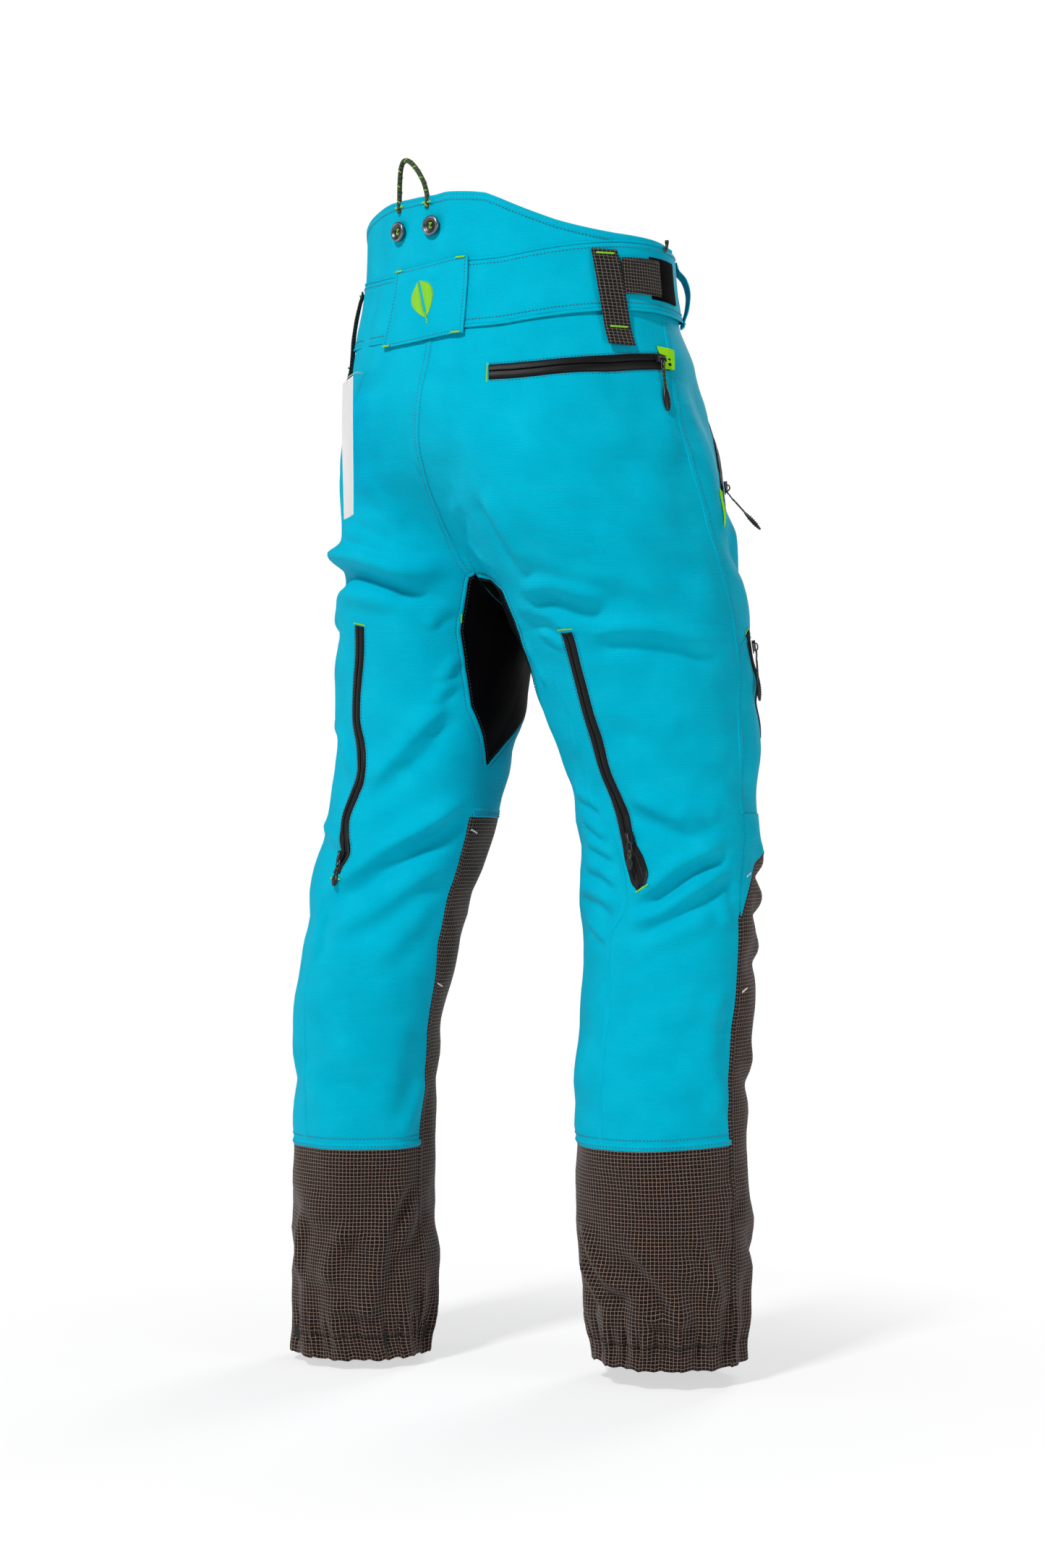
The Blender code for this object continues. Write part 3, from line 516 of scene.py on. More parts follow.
# side, [(angle, z), ...], height, width, lean, trough
FOLDS = [
    # back of the left leg and seat
    (1, [(-57,0.676),(-43,0.652),(-27,0.62),(-9,0.58)], 3.2, 11, 0.3, 0.6),
    (1, [(-83,0.58),(-61,0.552),(-40,0.528),(-15,0.5),(9,0.476)], 4.2, 12, 0.3, 0.7),
    (1, [(-89,0.508),(-63,0.496),(-38,0.464),(0,0.432)], 2.0, 12, 0.2, 0.5),
    (1, [(-67,0.556),(-44,0.536),(-18,0.512)], 1.5, 9, 0.2, 0.5),
    (1, [(-58,0.72),(-53,0.704),(-49,0.692)], 1.6, 7, 0.0, 0.5),
    (1, [(-63,0.692),(-52,0.688),(-46,0.668)], 1.4, 7, 0.0, 0.5),
    (1, [(-48,0.644),(-39,0.624),(-26,0.608)], 1.5, 9, 0.0, 0.5),
    (1, [(33,0.652),(17,0.624),(3,0.596)], 2.0, 9, 0.0, 0.5),
    (1, [(55,0.548),(6,0.532),(-8,0.52)], 2.5, 9, 0.0, 0.6),
    (1, [(6,0.468),(7,0.44),(8,0.408)], 2.0, 9, 0.0, 0.5),
    (1, [(-78,0.484),(-63,0.44),(-36,0.404)], 1.2, 13, 0.0, 0.4),
    (1, [(-75,0.36),(-70,0.3),(-68,0.244)], 1.0, 16, 0.0, 0.3),
    (1, [(-104,0.296),(-88,0.256),(-78,0.228)], 1.2, 12, 0.0, 0.4),
    (1, [(62,0.83),(42,0.827),(20,0.824),(-1,0.82),(-26,0.804),(-51,0.796)], 7.4, 13, -0.2, 0.9),
    (1, [(15,0.848),(-9,0.832),(-33,0.812),(-52,0.804)], 2.2, 10, 0.1, 0.3),
    (1, [(3,0.868),(-16,0.844),(-39,0.82)], 1.2, 10, 0.0, 0.4),
    (1, [(15,0.788),(-8,0.78),(-28,0.776)], 2.0, 12, 0.0, 0.4),
    (1, [(66,0.8),(45,0.797),(22,0.795),(4,0.797)], -2.6, 9, 0.0, 0.0),
    (1, [(1,0.904),(-13,0.868),(-26,0.84)], 1.0, 10, 0.0, 0.4),
    (1, [(-55,0.772),(-45,0.76),(-40,0.744)], 1.5, 7, 0.0, 0.5),
    # back of the right leg and seat
    (-1, [(1,0.876),(1,0.832),(2,0.796)], 3.0, 11, 0.2, 0.6),
    (-1, [(-14,0.868),(-54,0.84),(-14,0.796)], 2.0, 9, 0.2, 0.5),
    (-1, [(-11,0.78),(8,0.784),(20,0.776),(34,0.764)], 3.6, 11, -0.1, 0.7),
    (-1, [(-21,0.764),(1,0.756),(12,0.732)], 2.2, 10, 0.0, 0.5),
    (-1, [(11,0.728),(31,0.74),(50,0.74),(70,0.732),(90,0.728)], 2.6, 11, 0.0, 0.6),
    (-1, [(3,0.816),(20,0.796),(40,0.788),(65,0.768)], 1.4, 14, 0.0, 0.4),
    (-1, [(36,0.896),(47,0.856),(70,0.824),(95,0.808)], 1.2, 15, 0.0, 0.4),
    (-1, [(20,0.952),(28,0.896),(45,0.856)], 0.8, 16, 0.0, 0.4),
    (-1, [(-26,0.736),(-25,0.708),(-23,0.684)], 1.6, 8, 0.0, 0.5),
    (-1, [(-11,0.74),(-1,0.732),(4,0.72)], 1.4, 7, 0.0, 0.5),
    (-1, [(16,0.584),(27,0.572),(42,0.56),(64,0.544)], 3.0, 11, 0.2, 0.6),
    (-1, [(11,0.476),(27,0.488),(45,0.512),(61,0.524),(79,0.532)], 4.2, 10, 0.2, 0.8),
    (-1, [(6,0.452),(29,0.464),(51,0.484),(82,0.512)], 3.6, 10, 0.1, 0.7),
    (-1, [(74,0.556),(55,0.564),(42,0.564)], 1.6, 9, 0.0, 0.5),
    (-1, [(76,0.496),(73,0.48),(79,0.444)], 1.4, 9, 0.0, 0.4),
    (-1, [(-35,0.584),(-16,0.576),(-1,0.564)], 1.4, 6, 0.1, 0.7),
    (-1, [(-28,0.56),(-12,0.548),(0,0.536)], 1.5, 6, 0.1, 0.7),
    (-1, [(-26,0.536),(-10,0.528),(5,0.516)], 1.6, 6, 0.1, 0.7),
    (-1, [(-30,0.512),(-9,0.504),(6,0.488)], 1.8, 7, 0.1, 0.8),
    (-1, [(-44,0.488),(-13,0.48),(5,0.464)], 2.0, 8, 0.1, 0.8),
    (-1, [(-34,0.456),(-17,0.444),(-4,0.436)], 1.6, 7, 0.1, 0.7),
    (-1, [(16,0.436),(40,0.444),(68,0.464)], 1.4, 12, 0.0, 0.4),
    (-1, [(37,0.64),(60,0.62),(84,0.608)], 1.2, 15, 0.0, 0.4),
    (-1, [(53,0.352),(75,0.304),(86,0.252)], 1.8, 13, 0.0, 0.4),
    (-1, [(76,0.396),(71,0.352),(77,0.312)], 1.2, 11, 0.0, 0.4),
    (-1, [(22,0.664),(38,0.648),(58,0.644)], 0.9, 13, 0.0, 0.3),
    (-1, [(10,0.14),(30,0.124),(60,0.1)], 1.6, 14, 0.0, 0.5),
    (-1, [(45,0.116),(70,0.084),(90,0.06)], 1.8, 12, 0.0, 0.5),
    (-1, [(100,0.188),(83,0.156),(90,0.112)], 1.6, 11, 0.0, 0.4),
    (1, [(-20,0.136),(-46,0.132),(-63,0.116)], 1.6, 11, 0.0, 0.5),
    (1, [(-104,0.18),(-86,0.144),(-62,0.096),(-51,0.044)], 1.8, 12, 0.0, 0.5),
    (1, [(-17,0.096),(-40,0.076),(-57,0.032)], 1.4, 11, 0.0, 0.5),
    # front and sides of both legs and hips
    (-1, [(120,0.86),(150,0.80),(185,0.765)], 2.4, 13, 0.1, 0.5),
    (-1, [(210,0.80),(190,0.77),(165,0.755)], 2.0, 11, 0.1, 0.5),
    (-1, [(115,0.70),(145,0.69),(175,0.70)], 1.6, 14, 0.0, 0.4),
    (-1, [(110,0.53),(140,0.51),(175,0.52)], 2.6, 12, 0.2, 0.6),
    (-1, [(105,0.49),(130,0.475),(170,0.46),(205,0.47)], 2.8, 12, 0.2, 0.6),
    (-1, [(120,0.43),(160,0.42),(200,0.435)], 2.2, 12, 0.1, 0.5),
    (-1, [(110,0.33),(140,0.30),(170,0.31)], 1.6, 15, 0.0, 0.4),
    (-1, [(120,0.16),(150,0.12),(190,0.11)], 1.8, 14, 0.0, 0.5),
    (1, [(115,0.86),(150,0.80),(185,0.765)], 2.4, 13, 0.1, 0.5),
    (1, [(205,0.79),(190,0.765),(160,0.75)], 2.0, 11, 0.1, 0.5),
    (1, [(100,0.70),(140,0.68),(175,0.70)], 1.8, 14, 0.0, 0.4),
    (1, [(100,0.55),(140,0.53),(180,0.54)], 2.6, 12, 0.2, 0.6),
    (1, [(60,0.50),(100,0.485),(150,0.47),(200,0.48)], 3.0, 12, 0.2, 0.6),
    (1, [(70,0.45),(120,0.435),(170,0.43),(215,0.45)], 2.4, 12, 0.1, 0.5),
    (1, [(80,0.33),(130,0.31),(180,0.32)], 1.6, 15, 0.0, 0.4),
    (1, [(70,0.15),(120,0.12),(190,0.11)], 1.8, 14, 0.0, 0.5),
    (1, [(45,0.66),(70,0.64),(95,0.645)], 1.8, 12, 0.0, 0.5),
    (1, [(30,0.76),(60,0.755),(95,0.75)], 2.4, 12, 0.0, 0.5),
    # gathered cuffs
    (-1, [(-28,0.150),(-14,0.112),(2,0.086),(22,0.078)], 3.38, 10, 0.2, 0.7),
    (-1, [(-34,0.110),(-20,0.082),(-8,0.060)], 2.60, 9, 0.0, 0.6),
    (-1, [(14,0.130),(30,0.104),(44,0.074),(52,0.046)], 3.12, 9, 0.2, 0.7),
    (-1, [(58,0.150),(70,0.112),(76,0.070)], 2.34, 9, 0.0, 0.5),
    (-1, [(24,0.060),(40,0.052),(58,0.058)], 2.34, 8, 0.0, 0.5),
    (1, [(-86,0.196),(-72,0.166),(-62,0.124),(-58,0.080)], 2.86, 10, 0.2, 0.7),
    (1, [(-40,0.150),(-26,0.118),(-16,0.074)], 2.60, 10, 0.1, 0.6),
    (1, [(6,0.160),(14,0.120),(16,0.076)], 2.34, 10, 0.0, 0.5),
    (1, [(-60,0.058),(-40,0.052),(-20,0.060)], 2.08, 8, 0.0, 0.5),
]
for side, control, height, width, lean, trough in FOLDS:
    add_fold(HALF[side], control, height * FOLD_HEIGHT, width * FOLD_WIDTH, lean, trough)


def displace(half):
    """Moves a half's cloth by its folds, soft noise, hem pleats and the set of each side."""
    side, z, phi, arc = half.side, half.z, half.phi, half.arc
    tall = half.base * np.array((1.0, 1.0, 0.55))
    soft = (value_noise(tall, 0.060, 11 + side) * 0.00130
            + value_noise(tall, 0.030, 23 + side) * 0.00070
            + value_noise(tall, 0.014, 31 + side) * 0.00022)
    soft += value_noise(half.base * np.array((1.0, 1.0, 1.9)), 0.050, 41 + side) * 0.00080
    calm = 1 - 0.85 * smooth(0.985, 1.03, z)
    rise_calm = 1 - bell(half.base[..., 0], 0, 0.020) * (ROW_Z[:, None] > CROTCH_Z)
    # the hem is gathered: pleats run up from it and die out in the cuff
    pleat = (0.65 * np.abs(np.sin(np.pi * (arc + 0.002 * np.sin(arc * 310)) / 0.0150)) ** 0.75
             + 0.35 * np.sin(arc * 2 * np.pi / 0.0310 + 1.3 * side) ** 2 - 0.45)
    grow = bell(np.maximum(z, 0.026), 0.026, 0.019) * (0.35 + 0.65 * smooth(0.0, 0.026, z))
    long_pleat = (np.cos(arc * 2 * np.pi / 0.037 + 0.8 * np.sin(arc * 23) + side)
                  * bell(z, 0.03, 0.055))
    disp = (half.disp * rise_calm + soft * rise_calm) * calm
    disp += pleat * grow * 0.0074 + long_pleat * 0.0032 - 0.0030 * bell(z, 0.020, 0.018)
    if side > 0:
        # the cloth lies closer over the left hip and seat
        disp -= (0.0080 * smooth(5.0, 32.0, phi) * smooth(135.0, 100.0, phi)
                 * smooth(0.70, 0.76, z) * smooth(1.04, 0.99, z))
        disp -= 0.0055 * bell(phi, 47.0, 30.0) * smooth(1.0, 1.04, z)
        # and the left calf is a little slimmer on its outer back
        disp -= 0.0070 * bell(phi, 47.0, 55.0) * smooth(0.52, 0.44, z) * smooth(0.0, 0.05, z)
    else:
        # closer round the outer front of the right knee and waist
        disp -= bell(phi, 133.0, 40.0) * (
            0.0075 * smooth(0.36, 0.42, z) * smooth(0.63, 0.57, z)
            + 0.0080 * smooth(1.005, 1.045, z))
    # keep the top edge under the waistband
    disp -= 0.0012 * smooth(1.030, 1.050, z)
    # both edges of the inseam move alike
    low = BELOW_CROTCH
    mean = (disp[low, 0] + disp[low, -1]) / 2
    fade = np.clip(1 - np.arange(COLS + 1) / 6, 0, 1)[None]
    disp[low] += (fade * (mean - disp[low, 0])[:, None]
                  + fade[:, ::-1] * (mean - disp[low, -1])[:, None])
    half.p = half.base + half.base_n * disp[..., None]
    # the cloth rides up towards the hem, and the hem scallops between its pleats
    if side < 0:
        raised = (0.0040 + 0.0125 * smooth(190.0, 150.0, phi)) * smooth(0.38, 0.02, z)
        raised = raised + (0.0045 + 0.0035 * smooth(10.0, 90.0, phi)) * bell(z, 0.2245, 0.06)
    else:
        raised = 0.0065 * smooth(0.19, 0.02, z)
    half.p[..., 2] += raised + 0.0030 * (pleat - pleat.min()) * bell(z, 0, 0.016)
    half.raised = raised
    half.refresh()


for side, _ in SIDES:
    displace(HALF[side])


# ------------------------------------------------ cloth, hung and settled
CLOTH_GROW = 0.06        # extra length of the cut
CLOTH_HOLD = 0.30        # how firmly the open cloth is held in place
CLOTH_BEND = 30.0
CLOTH_FRAMES = 30
CLOTH_STEP = 4           # grid steps between the points of the trial cloth
CLOTH_TURN = 0.6         # twist of the cut, radians per metre of height
# where the cut is longest: share of the growth, height, spread
CLOTH_SLACK = [(0.9, 0.50, 0.085), (0.55, 0.77, 0.06), (0.75, 0.07, 0.06), (0.30, 0.30, 0.05)]


def hold_map(z, col):
    """How firmly each point is held, 0 to 1: most at the top and along the seams."""
    hold = np.full(z.shape, CLOTH_HOLD)
    hold = np.maximum(hold, smooth(0.955, 1.000, z))
    edge_gap = np.minimum(col, COLS - col)
    hold = np.where(edge_gap == 0, 1.0, hold)
    hold = np.maximum(hold, 0.9 * bell(edge_gap, 0, 5.0))
    hold = np.maximum(hold, 0.80 * bell(col, SIDE_COL, 2.0))
    hold = np.maximum(hold, 0.85 * bell(z, 0, 0.02))
    hold = np.maximum(hold, 0.75 * bell(z, KNEE_TOP, 0.006) * (col >= SIDE_COL))
    return np.maximum(hold, 0.75 * bell(z, 0.2245, 0.006) * (col <= SIDE_COL))


def cut_shape(half, points, row_z):
    """The cloth as cut: longer than the way down it hangs on, and a little twisted."""
    slack = 0.25
    for share, z, spread in CLOTH_SLACK:
        slack = slack + share * bell(row_z, z, spread)
    slack = CLOTH_GROW * slack
    down = (1 + slack)[::-1]
    run = (down[1:] + down[:-1]) / 2 * -np.diff(row_z[::-1])
    long_z = row_z[-1] - np.concatenate([[0], np.cumsum(run)])[::-1]
    twist = half.side * CLOTH_TURN * (np.clip(row_z, 0.36, 0.86) - 0.86)
    cx, cy = (c[:, None] for c in leg_centre(half.side, row_z))
    dx, dy = points[..., 0] - cx, points[..., 1] - cy
    cos, sin = np.cos(twist)[:, None], np.sin(twist)[:, None]
    cut = points.copy()
    cut[..., 0] = cx + dx * cos - dy * sin
    cut[..., 1] = cy + dx * sin + dy * cos
    cut[..., 2] += (long_z - row_z)[:, None]
    return cut


def settle(half):
    """Lets a slightly oversized copy of the half's cloth hang, held softly in place, and gives
    the wrinkles it makes: the displacement along the normal at every grid point."""
    rows, cols = np.arange(0, len(ROW_Z), CLOTH_STEP), np.arange(0, COLS + 1, CLOTH_STEP)
    if rows[-1] != TOP_ROW:
        rows = np.append(rows, TOP_ROW)
    picked = np.ix_(rows, cols)
    points = half.p[picked]
    n_rows, n_cols = points.shape[:2]
    mesh = bpy.data.meshes.new("cloth_trial")
    index = np.arange(n_rows * n_cols).reshape(n_rows, n_cols)
    faces = np.stack([index[:-1, :-1], index[:-1, 1:], index[1:, 1:], index[1:, :-1]], -1)
    mesh.from_pydata([tuple(v) for v in points.reshape(-1, 3)], [], faces.reshape(-1, 4).tolist())
    trial = bpy.data.objects.new("cloth_trial", mesh)
    bpy.context.scene.collection.objects.link(trial)
    row_z = ROW_Z[rows]
    hold = hold_map(np.broadcast_to(row_z[:, None], (n_rows, n_cols)),
                    np.broadcast_to(cols[None], (n_rows, n_cols)))
    group = trial.vertex_groups.new(name="hold")
    level = np.round(np.clip(hold, 0, 1), 2).ravel()
    for weight in np.unique(level):
        group.add(np.where(level == weight)[0].tolist(), float(weight), "REPLACE")
    trial.shape_key_add(name="Basis")
    key = trial.shape_key_add(name="cut")
    key.data.foreach_set("co", cut_shape(half, points, row_z).astype(np.float32).ravel())
    key.value = 0.0
    modifier = trial.modifiers.new("cloth", "CLOTH")
    cloth = modifier.settings
    cloth.rest_shape_key = key
    cloth.quality = 5
    cloth.mass = 0.08
    cloth.tension_stiffness = cloth.compression_stiffness = 12
    cloth.shear_stiffness = 6
    cloth.bending_stiffness = CLOTH_BEND
    cloth.tension_damping = cloth.compression_damping = cloth.shear_damping = 8
    cloth.air_damping = 3
    cloth.vertex_group_mass = "hold"
    cloth.pin_stiffness = 6.0
    cloth.shrink_min = -0.012
    cloth.effector_weights.gravity = 0.12
    modifier.collision_settings.use_collision = False
    modifier.point_cache.frame_start = 1
    modifier.point_cache.frame_end = CLOTH_FRAMES
    scene = bpy.context.scene
    for frame_no in range(1, CLOTH_FRAMES + 1):
        scene.frame_set(frame_no)
    done = trial.evaluated_get(bpy.context.evaluated_depsgraph_get())
    hung = np.empty(n_rows * n_cols * 3, np.float32)
    done.data.vertices.foreach_get("co", hung)
    hung = hung.reshape(n_rows, n_cols, 3).astype(float)
    scene.frame_set(1)
    bpy.data.objects.remove(trial, do_unlink=True)
    out = ((hung - points) * half.n[picked]).sum(-1)
    for _ in range(2):
        pad = np.pad(out, 1, mode="edge")
        out = (pad[1:-1, 1:-1] * 2 + pad[:-2, 1:-1] + pad[2:, 1:-1]
               + pad[1:-1, :-2] + pad[1:-1, 2:]) / 6
    # back onto the full grid
    row = np.interp(np.arange(len(ROW_Z)), rows, np.arange(n_rows))
    col = np.interp(np.arange(COLS + 1), cols, np.arange(n_cols))
    j, i = np.minimum(row.astype(int), n_rows - 2), np.minimum(col.astype(int), n_cols - 2)
    up, on = (row - j)[:, None], (col - i)[None]
    return ((out[np.ix_(j, i)] * (1 - on) + out[np.ix_(j, i + 1)] * on) * (1 - up)
            + (out[np.ix_(j + 1, i)] * (1 - on) + out[np.ix_(j + 1, i + 1)] * on) * up)


def wrinkle(half):
    """Adds the settled wrinkles, exaggerated, most of all in the cuff."""
    gain = 2.0 + 1.6 * bell(half.z, 0.085, 0.065)
    half.p = half.p + half.n * (settle(half) * gain)[..., None]
    mean = (half.p[BELOW_CROTCH, 0] + half.p[BELOW_CROTCH, -1]) / 2
    half.p[BELOW_CROTCH, 0] = half.p[BELOW_CROTCH, -1] = mean
    half.refresh()


for side, _ in SIDES:
    wrinkle(HALF[side])


# ------------------------------------------------------------- materials
def linear(*rgb):
    """Linear colour of an sRGB colour given as 0 to 255."""
    def channel(value):
        value = value / 255
        return value / 12.92 if value <= 0.04045 else ((value + 0.055) / 1.055) ** 2.4
    return (*map(channel, rgb), 1.0)


def grey(level):
    return (level, level, level, 1)


class Mat:
    """A material and a few short ways to build its nodes."""

    def __init__(self, name, rough, spec, metallic=0.0):
        self.material = bpy.data.materials.new(name)
        self.material.use_nodes = True
        self.tree = self.material.node_tree
        self.shader = self.tree.nodes["Principled BSDF"]
        self.set("Roughness", rough)
        self.set("Metallic", metallic)
        self.set("Specular IOR Level", spec)

    def put(self, socket, value):
        if hasattr(value, "is_output"):
            self.tree.links.new(value, socket)
        else:
            socket.default_value = value

    def set(self, name, value):
        self.put(self.shader.inputs[name], value)

    def node(self, kind):
        return self.tree.nodes.new("ShaderNode" + kind)

    def math(self, operation, *values, clamp=False):
        node = self.node("Math")
        node.operation = operation
        node.use_clamp = clamp
        for i, value in enumerate(values):
            self.put(node.inputs[i], value)
        return node.outputs[0]

    def times(self, value, gain):
        return self.math("MULTIPLY", value, gain)

    def times_add(self, value, gain, plus, clamp=False):
        return self.math("MULTIPLY_ADD", value, gain, plus, clamp=clamp)

    def uv(self):
        node = self.node("UVMap")
        node.uv_map = "weave"
        return node.outputs[0]

    def obj(self):
        return self.node("TexCoord").outputs["Object"]

    def split(self, vector):
        node = self.node("SeparateXYZ")
        self.put(node.inputs[0], vector)
        return node.outputs[0], node.outputs[1], node.outputs[2]

    def scaled(self, vector, factors):
        node = self.node("VectorMath")
        node.operation = "MULTIPLY"
        self.put(node.inputs[0], vector)
        node.inputs[1].default_value = factors
        return node.outputs[0]

    def noise(self, vector, scale, detail=2.0, rough=0.5):
        node = self.node("TexNoise")
        node.inputs["Scale"].default_value = scale
        node.inputs["Detail"].default_value = detail
        node.inputs["Roughness"].default_value = rough
        self.put(node.inputs["Vector"], vector)
        return node.outputs[0]

    def mix(self, share, first, second):
        node = self.node("Mix")
        node.data_type = "RGBA"
        node.blend_type = "MIX"
        node.clamp_factor = True
        self.put(node.inputs[0], share)
        self.put(node.inputs[6], first)
        self.put(node.inputs[7], second)
        return node.outputs[2]

    def ramp(self, value, *stops):
        """Colour ramp through (position, colour) stops."""
        node = self.node("ValToRGB")
        marks = node.color_ramp.elements
        marks[0].position, marks[0].color = stops[0]
        marks[1].position, marks[1].color = stops[-1]
        for position, color in stops[1:-1]:
            marks.new(position).color = color
        self.put(node.inputs[0], value)
        return node.outputs[0]

    def bump(self, height, distance, strength):
        """Adds a bump on top of any bump before it."""
        node = self.node("Bump")
        node.inputs["Distance"].default_value = distance
        node.inputs["Strength"].default_value = strength
        self.put(node.inputs["Height"], height)
        last = self.shader.inputs["Normal"]
        if last.is_linked:
            self.put(node.inputs["Normal"], last.links[0].from_socket)
        self.put(last, node.outputs[0])

    def wave(self, length, period, phase=0.0):
        """0..1 sine of a length, once per period."""
        angle = self.times(length, 2 * math.pi / period)
        angle = self.math("ADD", angle, phase)
        return self.times_add(self.math("SINE", angle), gain=0.5, plus=0.5)

    def map_range(self, value, start, end, low, high):
        node = self.node("MapRange")
        node.interpolation_type = "SMOOTHSTEP"
        self.put(node.inputs[0], value)
        for i, limit in enumerate((start, end, low, high)):
            node.inputs[i + 1].default_value = limit
        return node.outputs[0]

    def pulse(self, length, period, width):
        """1 inside a line of the given width, once per period, with soft sides."""
        part = self.math("FRACT", self.math("DIVIDE", length, period))
        off = self.math("ABSOLUTE", self.math("SUBTRACT", part, 0.5))
        half = width / period / 2
        return self.map_range(off, start=half * 1.5, end=half * 0.5, low=0.0, high=1.0)

    def sheen(self, weight, tint=None):
        self.set("Sheen Weight", weight)
        self.set("Sheen Roughness", 0.5)
        if tint:
            self.set("Sheen Tint", tint)

    def color_cloth(self, color, inner):
        """Sets the colour, with another one on the reverse of the cloth."""
        reverse = self.node("NewGeometry").outputs["Backfacing"]
        self.set("Base Color", self.mix(reverse, color, inner))


FLAT = (1, 1, 0)        # drops the third texture coordinate


def cloth_stretch(name, base, dark, light):
    """Four-way stretch twill: fine horizontal rib, soft mottling."""
    m = Mat(name, rough=0.80, spec=0.22)
    uv = m.uv()
    u, v, _ = m.split(uv)
    wobble = m.noise(m.scaled(uv, FLAT), scale=900, detail=1.0)
    rib = m.wave(m.times_add(wobble, gain=0.0006, plus=v), period=0.0021)
    yarn = m.wave(m.times_add(rib, gain=0.0004, plus=u), period=0.0011)
    grain = m.noise(m.scaled(uv, (1, 2.2, 0)), scale=620, detail=3.0, rough=0.7)
    cloud = m.noise(uv, scale=26, detail=3.0, rough=0.55)
    color = m.mix(m.times_add(rib, gain=0.75, plus=0.25), dark, base)
    color = m.mix(0.42, color, m.ramp(grain, (0.30, dark), (0.50, base), (0.72, light)))
    color = m.mix(0.22, color, m.ramp(cloud, (0.30, dark), (0.50, base), (0.74, light)))
    m.color_cloth(color, inner=(0.012, 0.014, 0.016, 1))
    m.set("Roughness", m.times_add(grain, gain=0.16, plus=0.70))
    m.bump(m.math("ADD", m.times(rib, 0.7), m.times(yarn, 0.3)), distance=0.00012, strength=0.8)
    m.bump(grain, distance=0.00012, strength=0.6)
    m.bump(cloud, distance=0.0006, strength=0.35)
    m.sheen(0.10, tint=(*light[:3], 1))
    m.set("Specular Tint", (*light[:3], 1))
    return m.material


def cloth_ripstop(name, base, dark, line, cell=0.0037):
    """Plain weave with a raised check of heavier yarns."""
    m = Mat(name, rough=0.75, spec=0.2)
    uv = m.uv()
    u, v, _ = m.split(uv)
    wobble = m.noise(m.scaled(uv, FLAT), scale=140)
    u = m.times_add(wobble, gain=0.0011, plus=u)
    v = m.times_add(wobble, gain=-0.0010, plus=v)
    upright, level = (m.pulse(x, period=cell, width=0.00046) for x in (u, v))
    grid = m.math("MAXIMUM", m.times(upright, 0.85), level)
    weave = m.times(m.wave(u, period=0.00074), m.wave(v, period=0.00074, phase=1.5))
    grain = m.noise(m.scaled(uv, FLAT), scale=800, detail=3.0, rough=0.7)
    cloud = m.noise(uv, scale=22, detail=3.0, rough=0.6)
    color = m.mix(m.times_add(weave, gain=0.5, plus=0.35, clamp=True), dark, base)
    color = m.mix(m.ramp(cloud, (0.32, grey(0)), (0.68, grey(0.32))), color, dark)
    broken = m.times(grid, m.ramp(grain, (0.30, grey(0.30)), (0.55, grey(1.0))))
    color = m.mix(broken, color, line)
    m.color_cloth(color, inner=(0.02, 0.02, 0.02, 1))
    m.set("Specular Tint", (*line[:3], 1))
    m.set("Roughness", m.times_add(grain, gain=0.18, plus=0.66))
    m.bump(m.times_add(grid, gain=1.0, plus=m.times(weave, 0.4)), distance=0.00016, strength=0.9)
    m.bump(cloud, distance=0.0008, strength=0.4)
    m.sheen(0.12)
    return m.material


def cloth_webbing(name, base, line, rib=0.0016):
    """Coarse weave of crossing ribs."""
    m = Mat(name, rough=0.80, spec=0.20)
    uv = m.uv()
    u, v, _ = m.split(uv)
    grain = m.noise(m.scaled(uv, FLAT), scale=1400, detail=3.0, rough=0.7)
    warp = m.wave(u, period=rib)
    weft = m.wave(m.times_add(warp, gain=rib * 0.5, plus=v), period=rib)
    knots = m.times(warp, weft)
    color = m.mix(m.times_add(knots, gain=0.8, plus=0.0, clamp=True), base, line)
    m.set("Base Color", m.mix(m.times(grain, 0.45), color, base))
    m.bump(knots, distance=0.0003, strength=0.9)
    m.bump(grain, distance=0.0001, strength=0.6)
    m.sheen(0.07)
    return m.material


def laminate(name, base, light):
    """Coated tape: smooth, slightly glossy, with a fine pebble."""
    m = Mat(name, rough=0.50, spec=0.22)
    uv = m.uv()
    pebble = m.noise(uv, scale=500, detail=3.0, rough=0.65)
    cloud = m.noise(uv, scale=60)
    color = m.mix(m.ramp(pebble, (0.35, grey(0)), (0.70, grey(1))), base, light)
    m.set("Base Color", m.mix(m.times(cloud, 0.35), color, base))
    m.set("Roughness", m.times_add(pebble, gain=0.2, plus=0.42))
    m.bump(pebble, distance=0.00008, strength=0.8)
    return m.material


def thread(name, *rgb):
    m = Mat(name, rough=0.55, spec=0.45)
    base = linear(*rgb)
    shade = tuple(x * 0.45 for x in base[:3]) + (1,)
    fibre = m.noise(m.obj(), scale=2600, rough=0.6)
    m.set("Base Color", m.mix(m.times(fibre, 0.55), base, shade))
    m.bump(fibre, distance=0.0001, strength=0.7)
    m.sheen(0.2)
    return m.material


def metal(name, base, rubbed, rough):
    """Gunmetal plating, lighter where the edges are rubbed."""
    m = Mat(name, rough=rough, spec=0.5, metallic=1.0)
    grain = m.noise(m.obj(), scale=700, detail=3.0, rough=0.6)
    worn = m.ramp(m.node("NewGeometry").outputs["Pointiness"], (0.50, grey(0)), (0.60, grey(1)))
    color = m.mix(m.times(grain, 0.4), base, rubbed)
    m.set("Base Color", m.mix(worn, color, rubbed))
    m.set("Roughness", m.times_add(grain, gain=0.25, plus=rough - 0.10))
    m.bump(grain, distance=0.00004, strength=0.5)
    return m.material


